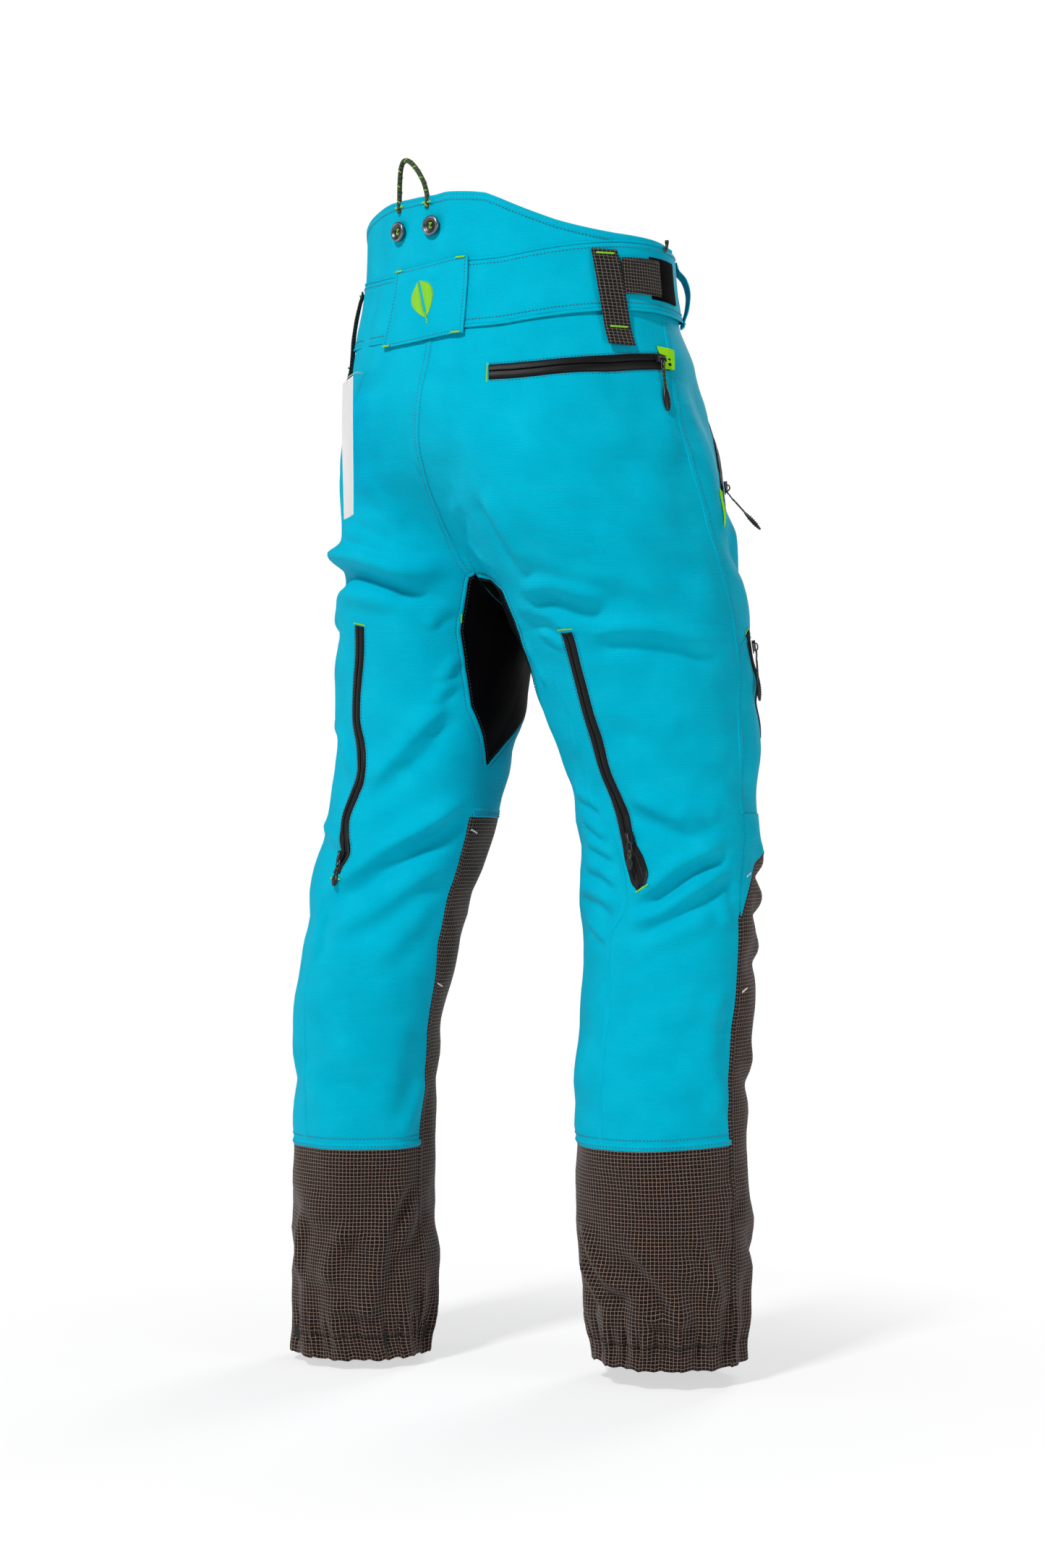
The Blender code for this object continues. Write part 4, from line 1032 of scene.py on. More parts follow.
def moulded(name, base, light, rough):
    """Moulded plastic."""
    m = Mat(name, rough=rough, spec=0.5)
    grain = m.noise(m.obj(), scale=900)
    m.set("Base Color", m.mix(m.times(grain, 0.5), base, light))
    m.bump(grain, distance=0.00005, strength=0.6)
    return m.material


def card_stock(name):
    m = Mat(name, rough=0.42, spec=0.5)
    place = m.obj()
    fibre = m.noise(m.scaled(place, (1, 1, 0.4)), scale=900, detail=3.0, rough=0.7)
    cloud = m.noise(place, scale=30)
    color = m.mix(m.times(fibre, 0.35), (0.83, 0.83, 0.82, 1), grey(0.74))
    m.set("Base Color", m.mix(m.times(cloud, 0.25), color, (0.70, 0.71, 0.73, 1)))
    m.bump(fibre, distance=0.00006, strength=0.5)
    return m.material


def cord_braid(name, base, fleck):
    """Braided cord with flecks of a second colour."""
    m = Mat(name, rough=0.7, spec=0.35)
    u, v, _ = m.split(m.uv())
    one = m.wave(m.math("ADD", u, v), period=0.0022)
    other = m.wave(m.math("SUBTRACT", u, v), period=0.0022)
    strands = m.math("MAXIMUM", one, other)
    flecks = m.times(m.math("GREATER_THAN", one, 0.93),
                     m.math("GREATER_THAN", m.wave(v, period=0.0044), 0.45))
    m.set("Base Color", m.mix(flecks, base, fleck))
    m.bump(strands, distance=0.0003, strength=0.9)
    m.sheen(0.25)
    return m.material


def hook_tape(name):
    """Matt black tape covered in fine hooks."""
    m = Mat(name, rough=0.95, spec=0.06)
    uv = m.uv()
    u, v, _ = m.split(uv)
    hooks = m.times(m.wave(u, period=0.0016), m.wave(v, period=0.0014))
    grain = m.noise(m.scaled(uv, FLAT), scale=1500, detail=3.0, rough=0.7)
    color = m.mix(m.times(hooks, 0.8), linear(4, 4, 5), linear(19, 18, 20))
    m.set("Base Color", m.mix(m.times(grain, 0.4), color, linear(6, 6, 7)))
    m.bump(hooks, distance=0.0005, strength=1.0)
    m.bump(grain, distance=0.0002, strength=0.7)
    return m.material


CYAN = cloth_stretch("stretch_cloth_cyan", base=linear(0, 170, 198), dark=linear(0, 148, 176),
                     light=linear(14, 190, 214))
BROWN = cloth_ripstop("ripstop_cloth_brown", base=linear(25, 19, 19), dark=linear(15, 12, 13),
                      line=linear(150, 124, 111))
BLACK = cloth_stretch("gusset_cloth_black", base=linear(8, 7, 9), dark=linear(3, 3, 4),
                      light=linear(18, 16, 18))
WEBBING = cloth_webbing("webbing_brown", linear(56, 47, 42), linear(112, 101, 90))
WELT = laminate("welt_laminate", linear(6, 6, 7), linear(15, 15, 17))
ZIP_TAPE = cloth_webbing("zip_tape_black", linear(5, 5, 6), linear(17, 17, 19), rib=0.0009)
cloth_webbing("label_weave", linear(18, 18, 20), linear(52, 52, 54), rib=0.0007)   # spare
LIME_THREAD = thread("lime_thread", 140, 218, 16)
LIME_CLOTH = cloth_stretch("lime_lining", base=linear(150, 224, 24), dark=linear(112, 190, 14),
                           light=linear(186, 240, 70))
WHITE_THREAD = thread("white_thread", 226, 226, 222)
CYAN_THREAD = thread("cyan_thread", 0, 112, 140)
thread("cyan_thread_light", 40, 200, 226)                                          # spare
BROWN_THREAD = thread("brown_thread", 40, 33, 30)
BLACK_THREAD = thread("black_thread", 18, 17, 18)
GUNMETAL = metal("gunmetal", linear(58, 58, 62), linear(150, 150, 154), rough=0.34)
DARK_METAL = metal("gunmetal_dark", linear(30, 30, 33), linear(88, 88, 92), rough=0.4)
PLASTIC = moulded("moulded_black", linear(6, 6, 7), linear(15, 15, 17), rough=0.42)
TEETH = moulded("zip_teeth", linear(20, 20, 22), linear(60, 60, 64), rough=0.3)
CARD = card_stock("card_white")
CORD = cord_braid("cord_black", linear(14, 16, 14), linear(90, 150, 26))
PAD = cloth_ripstop("saw_fibre_pad", base=linear(214, 212, 200), dark=linear(176, 174, 160),
                    line=linear(240, 238, 228), cell=0.012)
POCKET_MESH = cloth_webbing("pocket_mesh_lime", linear(96, 150, 20), linear(170, 226, 60),
                            rib=0.0020)
LINING = cloth_webbing("lining_dark", linear(24, 26, 30), linear(52, 55, 60), rib=0.0020)

STITCH_THREAD = {"cyan": CYAN_THREAD, "brown": BROWN_THREAD, "black": BLACK_THREAD,
                 "tab": BROWN_THREAD}


# --------------------------------------------------------- piece builder
def bind(obj, zone):
    """Ties an object to the frame: in a hip or knee zone its place is baked into the mesh and it
    is tied to no body; any other zone is a body's name."""
    for side, word in SIDES:
        if zone == HIP_ZONE[side]:
            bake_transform(obj)
            return
        if zone == KNEE_ZONE[side]:
            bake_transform(obj)
            return
    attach(obj, zone)


def piece(name, points, faces, mat, zone, uv=None, normals=None, slot=None, replaces=(),
          sharp=None):
    """One mesh object. faces is an array of quads, or a list of polygons and such arrays."""
    mesh = bpy.data.meshes.new(name)
    points = np.asarray(points, float).reshape(-1, 3)
    if isinstance(faces, np.ndarray):
        faces = [faces]
    index = np.concatenate([np.asarray(f, np.int32).ravel() for f in faces])
    sizes = np.concatenate([[len(f)] if np.ndim(f) == 1 else np.full(len(f), np.shape(f)[1])
                            for f in faces])
    mesh.vertices.add(len(points))
    mesh.vertices.foreach_set("co", points.astype(np.float32).ravel())
    mesh.loops.add(len(index))
    mesh.loops.foreach_set("vertex_index", index)
    mesh.polygons.add(len(sizes))
    starts = np.concatenate([[0], np.cumsum(sizes)[:-1]]).astype(np.int32)
    mesh.polygons.foreach_set("loop_start", starts)
    mesh.update(calc_edges=True)
    mesh.validate()
    mesh.polygons.foreach_set("use_smooth", np.ones(len(mesh.polygons), bool))
    if uv is not None:
        layer = mesh.uv_layers.new(name="weave")
        corners = np.empty(len(mesh.loops), np.int32)
        mesh.loops.foreach_get("vertex_index", corners)
        uv = np.asarray(uv, float).reshape(-1, 2)
        layer.data.foreach_set("uv", uv[corners].astype(np.float32).ravel())
    if sharp is not None:
        mesh.set_sharp_from_angle(angle=math.radians(sharp))
    if normals is not None:
        normals = np.asarray(normals).reshape(-1, 3)
        mesh.normals_split_custom_set_from_vertices([tuple(n) for n in normals])
    mesh.materials.append(mat)
    obj = bpy.data.objects.new(name, mesh)
    bpy.context.scene.collection.objects.link(obj)
    bind(obj, zone)
    if replaces:
        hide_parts(*replaces)
    return obj


def face_out(obj, sharp=None):
    """Turns all faces outwards and then marks the sharp edges."""
    bm = bmesh.new()
    bm.from_mesh(obj.data)
    bmesh.ops.recalc_face_normals(bm, faces=bm.faces)
    bm.to_mesh(obj.data)
    bm.free()
    if sharp is not None:
        obj.data.set_sharp_from_angle(angle=math.radians(sharp))
    return obj


def quads(rows, cols, wrap=False):
    """Faces of a grid; wrap joins the last column to the first."""
    j, i = np.meshgrid(np.arange(rows - 1), np.arange(cols - (0 if wrap else 1)), indexing="ij")
    after = (i + 1) % cols
    return np.stack([j * cols + i, j * cols + after, (j + 1) * cols + after, (j + 1) * cols + i],
                    axis=-1).reshape(-1, 4)


def capped_tube_faces(rings, seg):
    return quads(rings, seg, wrap=True).tolist() + [
        tuple(range(seg))[::-1], tuple((rings - 1) * seg + k for k in range(seg))]


def sheet(name, points, normals, uv, mat, zone, **details):
    """Grid of cloth, wound the way its normals point."""
    faces = quads(*points.shape[:2])
    a, b, c = (points.reshape(-1, 3)[faces[:, k]] for k in (0, 1, 2))
    if (np.cross(b - a, c - a) * normals.reshape(-1, 3)[faces[:, 0]]).sum() < 0:
        faces = faces[:, ::-1]
    return piece(name, points, faces, mat, zone, uv=uv, normals=normals, **details)


def slab(name, outer, inner, mat, zone, uv=None, uv_gap=0.0, ring=False, sharp_after=None,
         **details):
    """Closed sheet with thickness: up the outer grid and down the inner one."""
    both = np.concatenate([outer, inner[::-1]])
    rows, cols = both.shape[:2]
    faces = quads(rows, cols, wrap=ring).tolist()
    last = (rows - 1) * cols
    for i in range(cols if ring else cols - 1):
        after = (i + 1) % cols
        faces.append((last + i, last + after, after, i))
    if not ring:
        faces.append([j * cols for j in range(rows)])
        faces.append([j * cols + cols - 1 for j in range(rows)][::-1])
    if uv is not None:
        uv = np.concatenate([uv, uv[::-1] + np.array((0.0, uv_gap))])
    return face_out(piece(name, both, faces, mat, zone, uv=uv, **details), sharp_after)


def shell(name, half, rows, cols, mat, zone, slot, replaces):
    """Part of a half's cloth as one piece; the ends of rows and cols are included."""
    part = (slice(rows[0], rows[1] + 1), slice(cols[0], cols[1] + 1))
    uv = np.stack([half.arc[part], half.z[part]], axis=-1)
    sheet(name, half.p[part], half.n[part], uv, mat, zone, slot=slot, replaces=replaces)


class Bag:
    """Collects small bits of one material and zone into one piece."""

    def __init__(self, mat=None):
        self.mat = mat
        self.points, self.faces, self.uv, self.count = [], [], [], 0

    def add(self, points, faces, uv=None):
        points = np.asarray(points, float).reshape(-1, 3)
        self.points.append(points)
        self.uv.append(np.zeros((len(points), 2)) if uv is None
                       else np.asarray(uv, float).reshape(-1, 2))
        if isinstance(faces, np.ndarray):
            self.faces.append(faces + self.count)
        else:
            for face in faces:
                self.faces.append(tuple(int(i) + self.count for i in face))
        self.count += len(points)

    def build(self, name, mat, zone, with_uv=False, **details):
        uv = np.concatenate(self.uv) if with_uv else None
        piece(name, np.concatenate(self.points), self.faces, mat, zone, uv=uv, **details)


BAGS = {}
ZONE_WORD = {"hipR": "upper_right", "hipL": "upper_left", "kneeR": "lower_right",
             "kneeL": "lower_left"}


def bag(name, mat, zone):
    if (name, zone) not in BAGS:
        BAGS[name, zone] = Bag(mat)
    return BAGS[name, zone]


def empty_bags():
    for (name, zone), held in BAGS.items():
        held.build(f"{name}_{ZONE_WORD.get(zone, zone)}", held.mat, zone, with_uv=True)


# -------------------------------------------------------- on the surface
def skin(points, side=None):
    """Nearest places on the displaced cloth, and the normals there."""
    points = np.atleast_2d(np.asarray(points, float))
    out, normals = np.zeros_like(points), np.zeros_like(points)
    own = np.where(points[:, 0] < 0, -1, 1)
    if side is not None:
        # above the crotch a line may run across the middle
        free = (points[:, 2] > CROTCH_Z) & (np.abs(points[:, 0]) < 0.05)
        own = np.where(free, own, side)
    for k in (-1, 1):
        mask = own == k
        if mask.any():
            phi, z = HALF[k].locate(points[mask])
            out[mask], normals[mask] = HALF[k].line(phi, z)
    return out, normals


def line_on(side, control, step=0.004):
    """Evenly spaced points on the cloth along [(phi, z), ...]."""
    return skin(resample([HALF[side].plain(phi, z) for phi, z in control], step), side)


def line_on_torso(side, control, step):
    """Evenly spaced points on the seat along [(theta, z), ...]."""
    return skin(resample([torso(theta, z) for theta, z in control], step), side)


def frames(points, normals):
    """Tangent and crosswise directions along a line."""
    tangent = unit(np.gradient(points, axis=0), 1e-12)
    return tangent, unit(np.cross(normals, tangent), 1e-12)


def zone_of(side, z):
    return (HIP_ZONE if z >= KNEE_TOP else KNEE_ZONE)[side]


def split_zone(points, side):
    """Runs of a line in the hip and knee zones, as (zone, slice), sharing their end points."""
    high = points[:, 2] >= KNEE_TOP
    cuts = [0] + [i for i in range(1, len(points)) if high[i] != high[i - 1]]
    runs = [(zone_of(side, points[start, 2]), slice(start, end + 1))
            for start, end in zip(cuts, cuts[1:] + [len(points) - 1])]
    return [run for run in runs if run[1].stop - run[1].start > 1]


PROFILES = {     # ribbon sections: across -0.5..0.5, height 0..1
    "tape": [(-0.5, -0.35), (-0.5, 0.75), (-0.46, 1.0), (-0.2, 1.0), (0.0, 1.0), (0.2, 1.0),
             (0.46, 1.0), (0.5, 0.75), (0.5, -0.35)],
    "felled": [(-0.5, -0.4), (-0.42, 0.45), (-0.30, 0.9), (-0.1, 0.62), (0.0, 0.55),
               (0.1, 0.62), (0.30, 0.9), (0.42, 0.45), (0.5, -0.4)],
    "round": [(-0.5, -0.3), (-0.45, 0.35), (-0.28, 0.8), (0.0, 1.0), (0.28, 0.8),
              (0.45, 0.35), (0.5, -0.3)],
    "lip": [(-0.5, -0.2), (-0.5, 0.35), (-0.42, 0.62), (-0.15, 0.95), (0.2, 1.05),
            (0.42, 0.9), (0.5, 0.3), (0.5, -0.2)],
}
PROFILES["lip_mirrored"] = [(-a, h) for a, h in reversed(PROFILES["lip"])]


def ribbon(name, side, points, normals, width, height, mat, profile="felled", lift=0.0,
           zone=None, slot="stretch_cloth", replaces=(), ripple=0.0, fitted=True):
    """A tape laid along points; fitted drops every point of its section onto the cloth."""
    _, across = frames(points, normals)
    along = lengths(points)
    section = np.array(PROFILES[profile])
    width = np.asarray(width, float) * np.ones(len(points))
    rows = []
    for k, (share, high) in enumerate(section):
        foot, up = points + across * (share * width)[:, None], normals
        if fitted:
            foot, up = skin(foot, side)
        wobble = 1 + ripple * np.sin(along / 0.0045 + k) * np.sin(along / 0.0019 + 2 * k)
        rows.append(foot + up * (lift + high * height * wobble)[:, None])
    grid = np.stack(rows, axis=1)                    # along, across
    uv = np.stack([np.broadcast_to(section[:, 0][None], grid.shape[:2]) * width[:, None],
                   np.broadcast_to(along[:, None], grid.shape[:2])], axis=-1)
    runs = [(zone, slice(0, len(points)))] if zone else split_zone(points, side)
    for i, (run_zone, run) in enumerate(runs):
        part = grid[run]
        count, cols = part.shape[:2]
        faces = quads(count, cols)
        flat = part.reshape(-1, 3)
        probe = faces[(faces[:, 0] % cols) == cols // 2]
        turn_of = np.cross(flat[probe[:, 1]] - flat[probe[:, 0]],
                           flat[probe[:, 2]] - flat[probe[:, 0]])
        flip = (turn_of * normals[run][probe[:, 0] // cols]).sum() < 0
        first, last = list(range(cols)), [(count - 1) * cols + k for k in range(cols)]
        if flip:
            faces = [faces[:, ::-1], first, last[::-1]]
        else:
            faces = [faces, first[::-1], last]
        run_name = name
        if len(runs) > 1:
            run_name += "_upper" if run_zone.startswith("hip") else "_lower"
        piece(run_name, part, faces, mat, run_zone, uv=uv[run], slot=slot,
              replaces=() if i else replaces, sharp=50)


STITCH = np.array([(math.cos(a), math.sin(a)) for a in np.linspace(0, 2 * math.pi, 6)[:-1]])
STITCH_SIZE = 0.0025
STITCH_RADIUS = 0.00042
STITCH_RINGS = ((-0.5, 0.25, -0.6), (-0.32, 0.9, 0.15), (0.0, 1.0, 0.45), (0.32, 0.9, 0.15),
                (0.5, 0.25, -0.6))        # along, radius, height
STITCH_FACES = quads(len(STITCH_RINGS), len(STITCH), wrap=True)


def stitch_row(side, points, normals, across=0.0, lift=0.0004, pitch=0.0036, zone=None,
               fitted=True, group="cyan"):
    """A line of raised stitches following the cloth."""
    points = points + frames(points, normals)[1] * across
    if fitted:
        points, normals = skin(points, side)
    along = lengths(points)
    count = int(along[-1] / pitch)
    if count < 1:
        return
    mids = (np.arange(count) + 0.5) * pitch + (along[-1] - count * pitch) / 2
    middle = sample(mids, along, points)
    up = unit(sample(mids, along, normals))
    tangent = sample(mids + 0.0008, along, points) - middle
    tangent -= up * (tangent * up).sum(1)[:, None]
    tangent = unit(tangent, 1e-12)
    cross = np.cross(up, tangent)
    ring_at, ring_r, ring_h = (a[None, :, None, None] for a in np.array(STITCH_RINGS).T)
    cos, sin = STITCH[:, 0][None, None, :, None], STITCH[:, 1][None, None, :, None]
    base, on, over, rise = (a[:, None, None, :] for a in (middle, tangent, cross, up))
    grid = (base + on * (ring_at * STITCH_SIZE) + rise * (lift + ring_h * STITCH_RADIUS)
            + over * (cos * ring_r * STITCH_RADIUS) + rise * (sin * ring_r * STITCH_RADIUS))
    high = middle[:, 2] >= KNEE_TOP
    if zone:
        picks = [(zone, np.ones(count, bool))]
    else:
        picks = [(HIP_ZONE[side], high), (KNEE_ZONE[side], ~high)]
    per_stitch = len(STITCH) * len(STITCH_RINGS)
    for bag_zone, pick in picks:
        number = int(pick.sum())
        if number:
            faces = STITCH_FACES[None] + (np.arange(number) * per_stitch)[:, None, None]
            bag(f"stitching_{group}", STITCH_THREAD[group], bag_zone).add(
                grid[pick].reshape(-1, 3), faces.reshape(-1, 4))


def bar_tack(at, way, normal, length, width, height=0.0009, zone="waist", lift=0.0003,
             group="lime_tacks", mat=LIME_THREAD):
    """Dense zigzag block of thread."""
    at, way, normal = (np.asarray(v, float) for v in (at, way, normal))
    way = unit(way - normal * (way @ normal))
    across = np.cross(normal, way)
    count = max(5, int(length / 0.0008))
    held = bag(group, mat, zone)
    skew = way * (length / count) * 0.45
    for i in range(count):
        middle = at + way * ((i + 0.5) / count - 0.5) * length + normal * (lift + height * 0.3)
        points = []
        for share, swell in ((-0.5, 0.35), (-0.36, 0.9), (0.0, 1.0), (0.36, 0.9), (0.5, 0.35)):
            base = middle + across * share * width + skew * (2 * share)
            radius = length / count * 0.62 * swell
            for cos, sin in STITCH:
                points.append(base + way * cos * radius
                              + normal * (sin * radius * 0.9 + (swell - 1) * height * 0.5))
        held.add(points, STITCH_FACES)


def tube(points, radius, sides=8):
    """Round cord through points: vertices, faces and lengthwise coordinates."""
    points = np.asarray(points, float)
    tangent = unit(np.gradient(points, axis=0), 1e-12)
    ref = np.array((0, 0, 1.0)) if abs(tangent[0, 2]) < 0.9 else np.array((1.0, 0, 0))
    x = unit(np.cross(tangent[0], ref))
    ring_points, uv = [], []
    along = lengths(points)
    for i, middle in enumerate(points):
        x = unit(x - tangent[i] * (x @ tangent[i]))
        y = np.cross(tangent[i], x)
        for k in range(sides):
            angle = 2 * math.pi * k / sides
            ring_points.append(middle + (x * math.cos(angle) + y * math.sin(angle)) * radius)
            uv.append((angle * radius, along[i]))
    return np.array(ring_points), capped_tube_faces(len(points), sides), np.array(uv)


def rounded_box(size, centre_at, axes, bevel, segments=2):
    bm = bmesh.new()
    bmesh.ops.create_cube(bm, size=1.0)
    bmesh.ops.scale(bm, vec=size, verts=bm.verts)
    bmesh.ops.bevel(bm, geom=list(bm.edges), offset=bevel, segments=segments, affect="EDGES",
                    profile=0.6)
    place = Matrix.Identity(4)
    for i, axis in enumerate(axes):
        for j in range(3):
            place[j][i] = axis[j]
    place.translation = Vector(centre_at)
    bm.transform(place)
    bmesh.ops.recalc_face_normals(bm, faces=bm.faces)
    points = np.array([tuple(v.co) for v in bm.verts])
    faces = [tuple(v.index for v in face.verts) for face in bm.faces]
    bm.free()
    return points, faces


# ---------------------------------------------------------------- panels
def main_panels(side, word):
    half, hip, knee = HALF[side], HIP_ZONE[side], KNEE_ZONE[side]
    back, front = (0, SIDE_COL), (SIDE_COL, COLS)
    shell(f"seat_{word}", half, (KNEE_ROW, TOP_ROW), back, CYAN, hip, "stretch_cloth",
          (f"seat_panel_{word}", f"thigh_back_{word}"))
    shell(f"front_{word}", half, (KNEE_ROW, TOP_ROW), front, CYAN, hip, "stretch_cloth",
          (f"front_hip_{word}",))
    shell(f"knee_back_panel_{word}", half, (CUFF_ROW, KNEE_ROW), back, CYAN, knee,
          "stretch_cloth", (f"knee_back_{word}", f"calf_back_{word}"))
    shell(f"shin_panel_{word}", half, (0, KNEE_ROW), front, BROWN, knee, "ripstop_cloth",
          (f"knee_front_{word}", f"shin_front_{word}", f"thigh_front_{word}"))
    shell(f"cuff_{word}", half, (0, CUFF_ROW), back, BROWN, knee, "ripstop_cloth",
          (f"cuff_back_{word}",))


# height and inward offset of each row of the turned-up hem
HEM_TURN = [(0.0, 0.0), (-0.0009, 0.0004), (-0.0012, 0.0012), (-0.0006, 0.0022),
            (0.003, 0.0026), (0.012, 0.0028), (0.026, 0.0030)]


def hem(side, word):
    """The hem is turned up inside."""
    half = HALF[side]
    rows = []
    for rise, inward in HEM_TURN:
        row = half.p[0] - half.n[0] * inward
        row[:, 2] += rise
        rows.append(row)
    grid = np.stack(rows)
    uv = np.stack([np.broadcast_to(half.arc[0][None], grid.shape[:2]), -grid[..., 2]], -1)
    piece(f"hem_{word}", grid, quads(*grid.shape[:2]), BROWN, f"shin_{word}", uv=uv,
          slot="ripstop_cloth")


# the slanting seam across the outside of the knee
KNEE_SEAM_Z = [0.460, 0.472, 0.482, 0.492, 0.504, 0.517, 0.536, 0.558]
KNEE_SEAM_PHI = [90.0, 93.5, 97.0, 101.0, 109.0, 121.0, 136.0, 148.0]


def knee_side_panel(side, word):
    """The cyan cloth runs round the outside of the knee, down to a slanting seam."""
    half = HALF[side]
    z = np.linspace(0.4600, KNEE_TOP + 0.0006, 36)
    start = np.interp(z, ROW_Z, half.side_seam) - 0.25
    end = np.maximum(np.interp(z, KNEE_SEAM_Z, KNEE_SEAM_PHI), start + 0.3)
    share = np.linspace(0, 1, 40)
    phi = start[:, None] + (end - start)[:, None] * share[None]
    z = np.broadcast_to(z[:, None], phi.shape)
    lift = 0.0009 * np.minimum(1, np.minimum(share, 1 - share) * 12)[None] + 0.0002
    sheet(f"knee_side_panel_{word}", half.at(phi, z, lift), half.normal(phi, z),
          np.stack([np.radians(phi) * 0.09, z], -1), CYAN, KNEE_ZONE[side],
          slot="stretch_cloth")


for side, word in SIDES:
    main_panels(side, word)
    hem(side, word)
for side, word in SIDES:
    knee_side_panel(side, word)


# ----------------------------------------------------------------- waist
BAND_HEIGHT = 0.066
# upper edge of the raised back, above the waistband: theta, z
TOP_EDGE = ((-180, 1.124), (-120, 1.130), (-100, 1.138), (-75, 1.158), (-50, 1.172),
            (-20, 1.171), (0, 1.167), (17, 1.163), (30, 1.157), (45, 1.144), (65, 1.131),
            (100, 1.125), (180, 1.124))
# what wear adds to that edge: theta, then millimetres
TOP_EDGE_SET = ((-180, -80, -60, -45, -20, -5, 4, 12, 30, 40, 55, 75, 100, 180),
                (0, -4, -10, -9, -3, -1, 1, 4, 7, 3, -3, -5.5, -4, 0))


def band_low(theta):
    """Lower edge of the waistband: it dips at the back and over the right hip."""
    angle = np.radians(theta)
    return (1.050 - 0.022 * np.maximum(np.cos(angle), 0) ** 2 + 0.008 * np.sin(angle)
            - 0.0072 * smooth(14.0, 40.0, theta) * smooth(128.0, 104.0, theta))


def band_top(theta):
    return band_low(theta) + BAND_HEIGHT


def top_edge(theta):
    return (soft_interp(theta, TOP_EDGE, np.linspace(-180, 180, 361), spread=7)
            + 0.001 * np.interp(theta, *TOP_EDGE_SET))


def waist_bulge(theta, z):
    """Soft creases of the waistband and the raised back, in metres."""
    theta = np.asarray(theta, float)
    z = np.asarray(z, float)
    raised_back = smooth(1.10, 1.15, z)
    band = smooth(1.15, 1.06, z)
    bulge = (-0.0030 * bell(theta, 7, 4.5) * raised_back
             + 0.0016 * bell(theta, 16, 6) * raised_back
             + 0.0012 * bell(theta, -2, 5) * raised_back)
    bulge += -0.0016 * bell(theta, -30, 4) * band
    bulge += 0.0010 * bell(theta, -24, 5) * band
    bulge += (-0.0085 * bell(theta, 133, 36) * smooth(1.165, 1.130, z)
              - 0.0055 * bell(theta, -47, 30))
    place = np.stack([np.radians(theta) * 0.14, z, 0 * z + 0.5], axis=-1)
    bulge += value_noise(place, 0.030, 71) * 0.0007 + value_noise(place, 0.011, 73) * 0.00022
    return bulge


# the waist as a grid, one column per degree
WAIST_T0, WAIST_Z0, WAIST_STEP = -184.0, 0.972, 0.004
WAIST_T = np.linspace(WAIST_T0, -WAIST_T0, 369)
WAIST_Z = np.arange(WAIST_Z0, 1.196, WAIST_STEP)
WAIST_P = torso(*np.meshgrid(WAIST_T, WAIST_Z))
WAIST_N = unit(np.cross(np.gradient(WAIST_P, axis=1), np.gradient(WAIST_P, axis=0)))
WAIST_N = WAIST_N * np.sign(((WAIST_P[..., :2] - np.array((0.0, -0.01)))
                             * WAIST_N[..., :2]).sum(-1, keepdims=True))


def around(theta, z, up=0.0):
    """Point on the waist and the outward normal there."""
    theta, z = np.broadcast_arrays(np.asarray(theta, float), np.asarray(z, float))
    col = np.clip(theta - WAIST_T0, 0, 367.999)
    row = np.clip((z - WAIST_Z0) / WAIST_STEP, 0, len(WAIST_Z) - 1.001)
    i, j = col.astype(int), row.astype(int)
    on, rise = (col - i)[..., None], (row - j)[..., None]

    def pick(grid):
        return ((grid[j, i] * (1 - on) + grid[j, i + 1] * on) * (1 - rise)
                + (grid[j + 1, i] * (1 - on) + grid[j + 1, i + 1] * on) * rise)

    normal = unit(pick(WAIST_N))
    return pick(WAIST_P) + normal * (waist_bulge(theta, z) + np.asarray(up))[..., None], normal


def waist_arc(theta):
    """Length round the waist from the centre back."""
    angles = np.linspace(-180, 180, 721)
    arc = lengths(torso(angles, 1.08))
    return np.interp(theta, angles, arc - arc[360])


def belt(name, ends, z_low, z_high, cells, up, thick, mat, body="waist", ring=False, slot=None,
         replaces=(), relief=None):
    """Sheet wrapped round the waist with rounded edges, closed. ends is its first and last
    theta, cells the count of cells along and up, and relief adds to its height."""
    theta = np.linspace(*ends, cells[0] + 1)[: cells[0] if ring else cells[0] + 1]
    theta, share = np.meshgrid(theta, np.linspace(0, 1, cells[1] + 1))
    low, high = z_low(theta), z_high(theta)
    tall = high - low
    z = low + tall * share
    if relief is not None:
        up = up + relief(theta, z, share)
    outer, normal = around(theta, z, up)
    inner = outer - normal * thick
    # round the lower and upper edges by easing the last rows inwards
    ease = np.exp(-np.minimum(share, 1 - share) * tall / 0.0006) * 0.45 * thick
    outer = outer - normal * ease[..., None]
    inner = inner + normal * ease[..., None]
    slab(name, outer, inner, mat, body, uv=np.stack([waist_arc(theta), z], axis=-1),
         uv_gap=0.2, ring=ring, sharp_after=60, slot=slot, replaces=replaces)


def band_relief(theta, z, share):
    """The band stands up a little along its two seams and pulls in beside the stitching."""
    up = z - band_low(theta)
    return (0.0005 * bell(up, 0.002, 0.0022) - 0.0004 * bell(up, 0.0065, 0.0016)
            + 0.0004 * bell(band_top(theta) - z, 0.002, 0.0022))


def yoke_top(theta):
    rise = top_edge(theta) - band_top(theta)
    rise = rise * smooth(-158.0, -112.0, theta) * smooth(112.0, 92.0, theta)
    return band_top(theta) + np.maximum(rise, 0.0004)


def yoke_relief(theta, z, share):
    down = yoke_top(theta) - z
    return -0.0006 * bell(down, 0.0085, 0.0016) + 0.0004 * bell(down, 0.0035, 0.003)


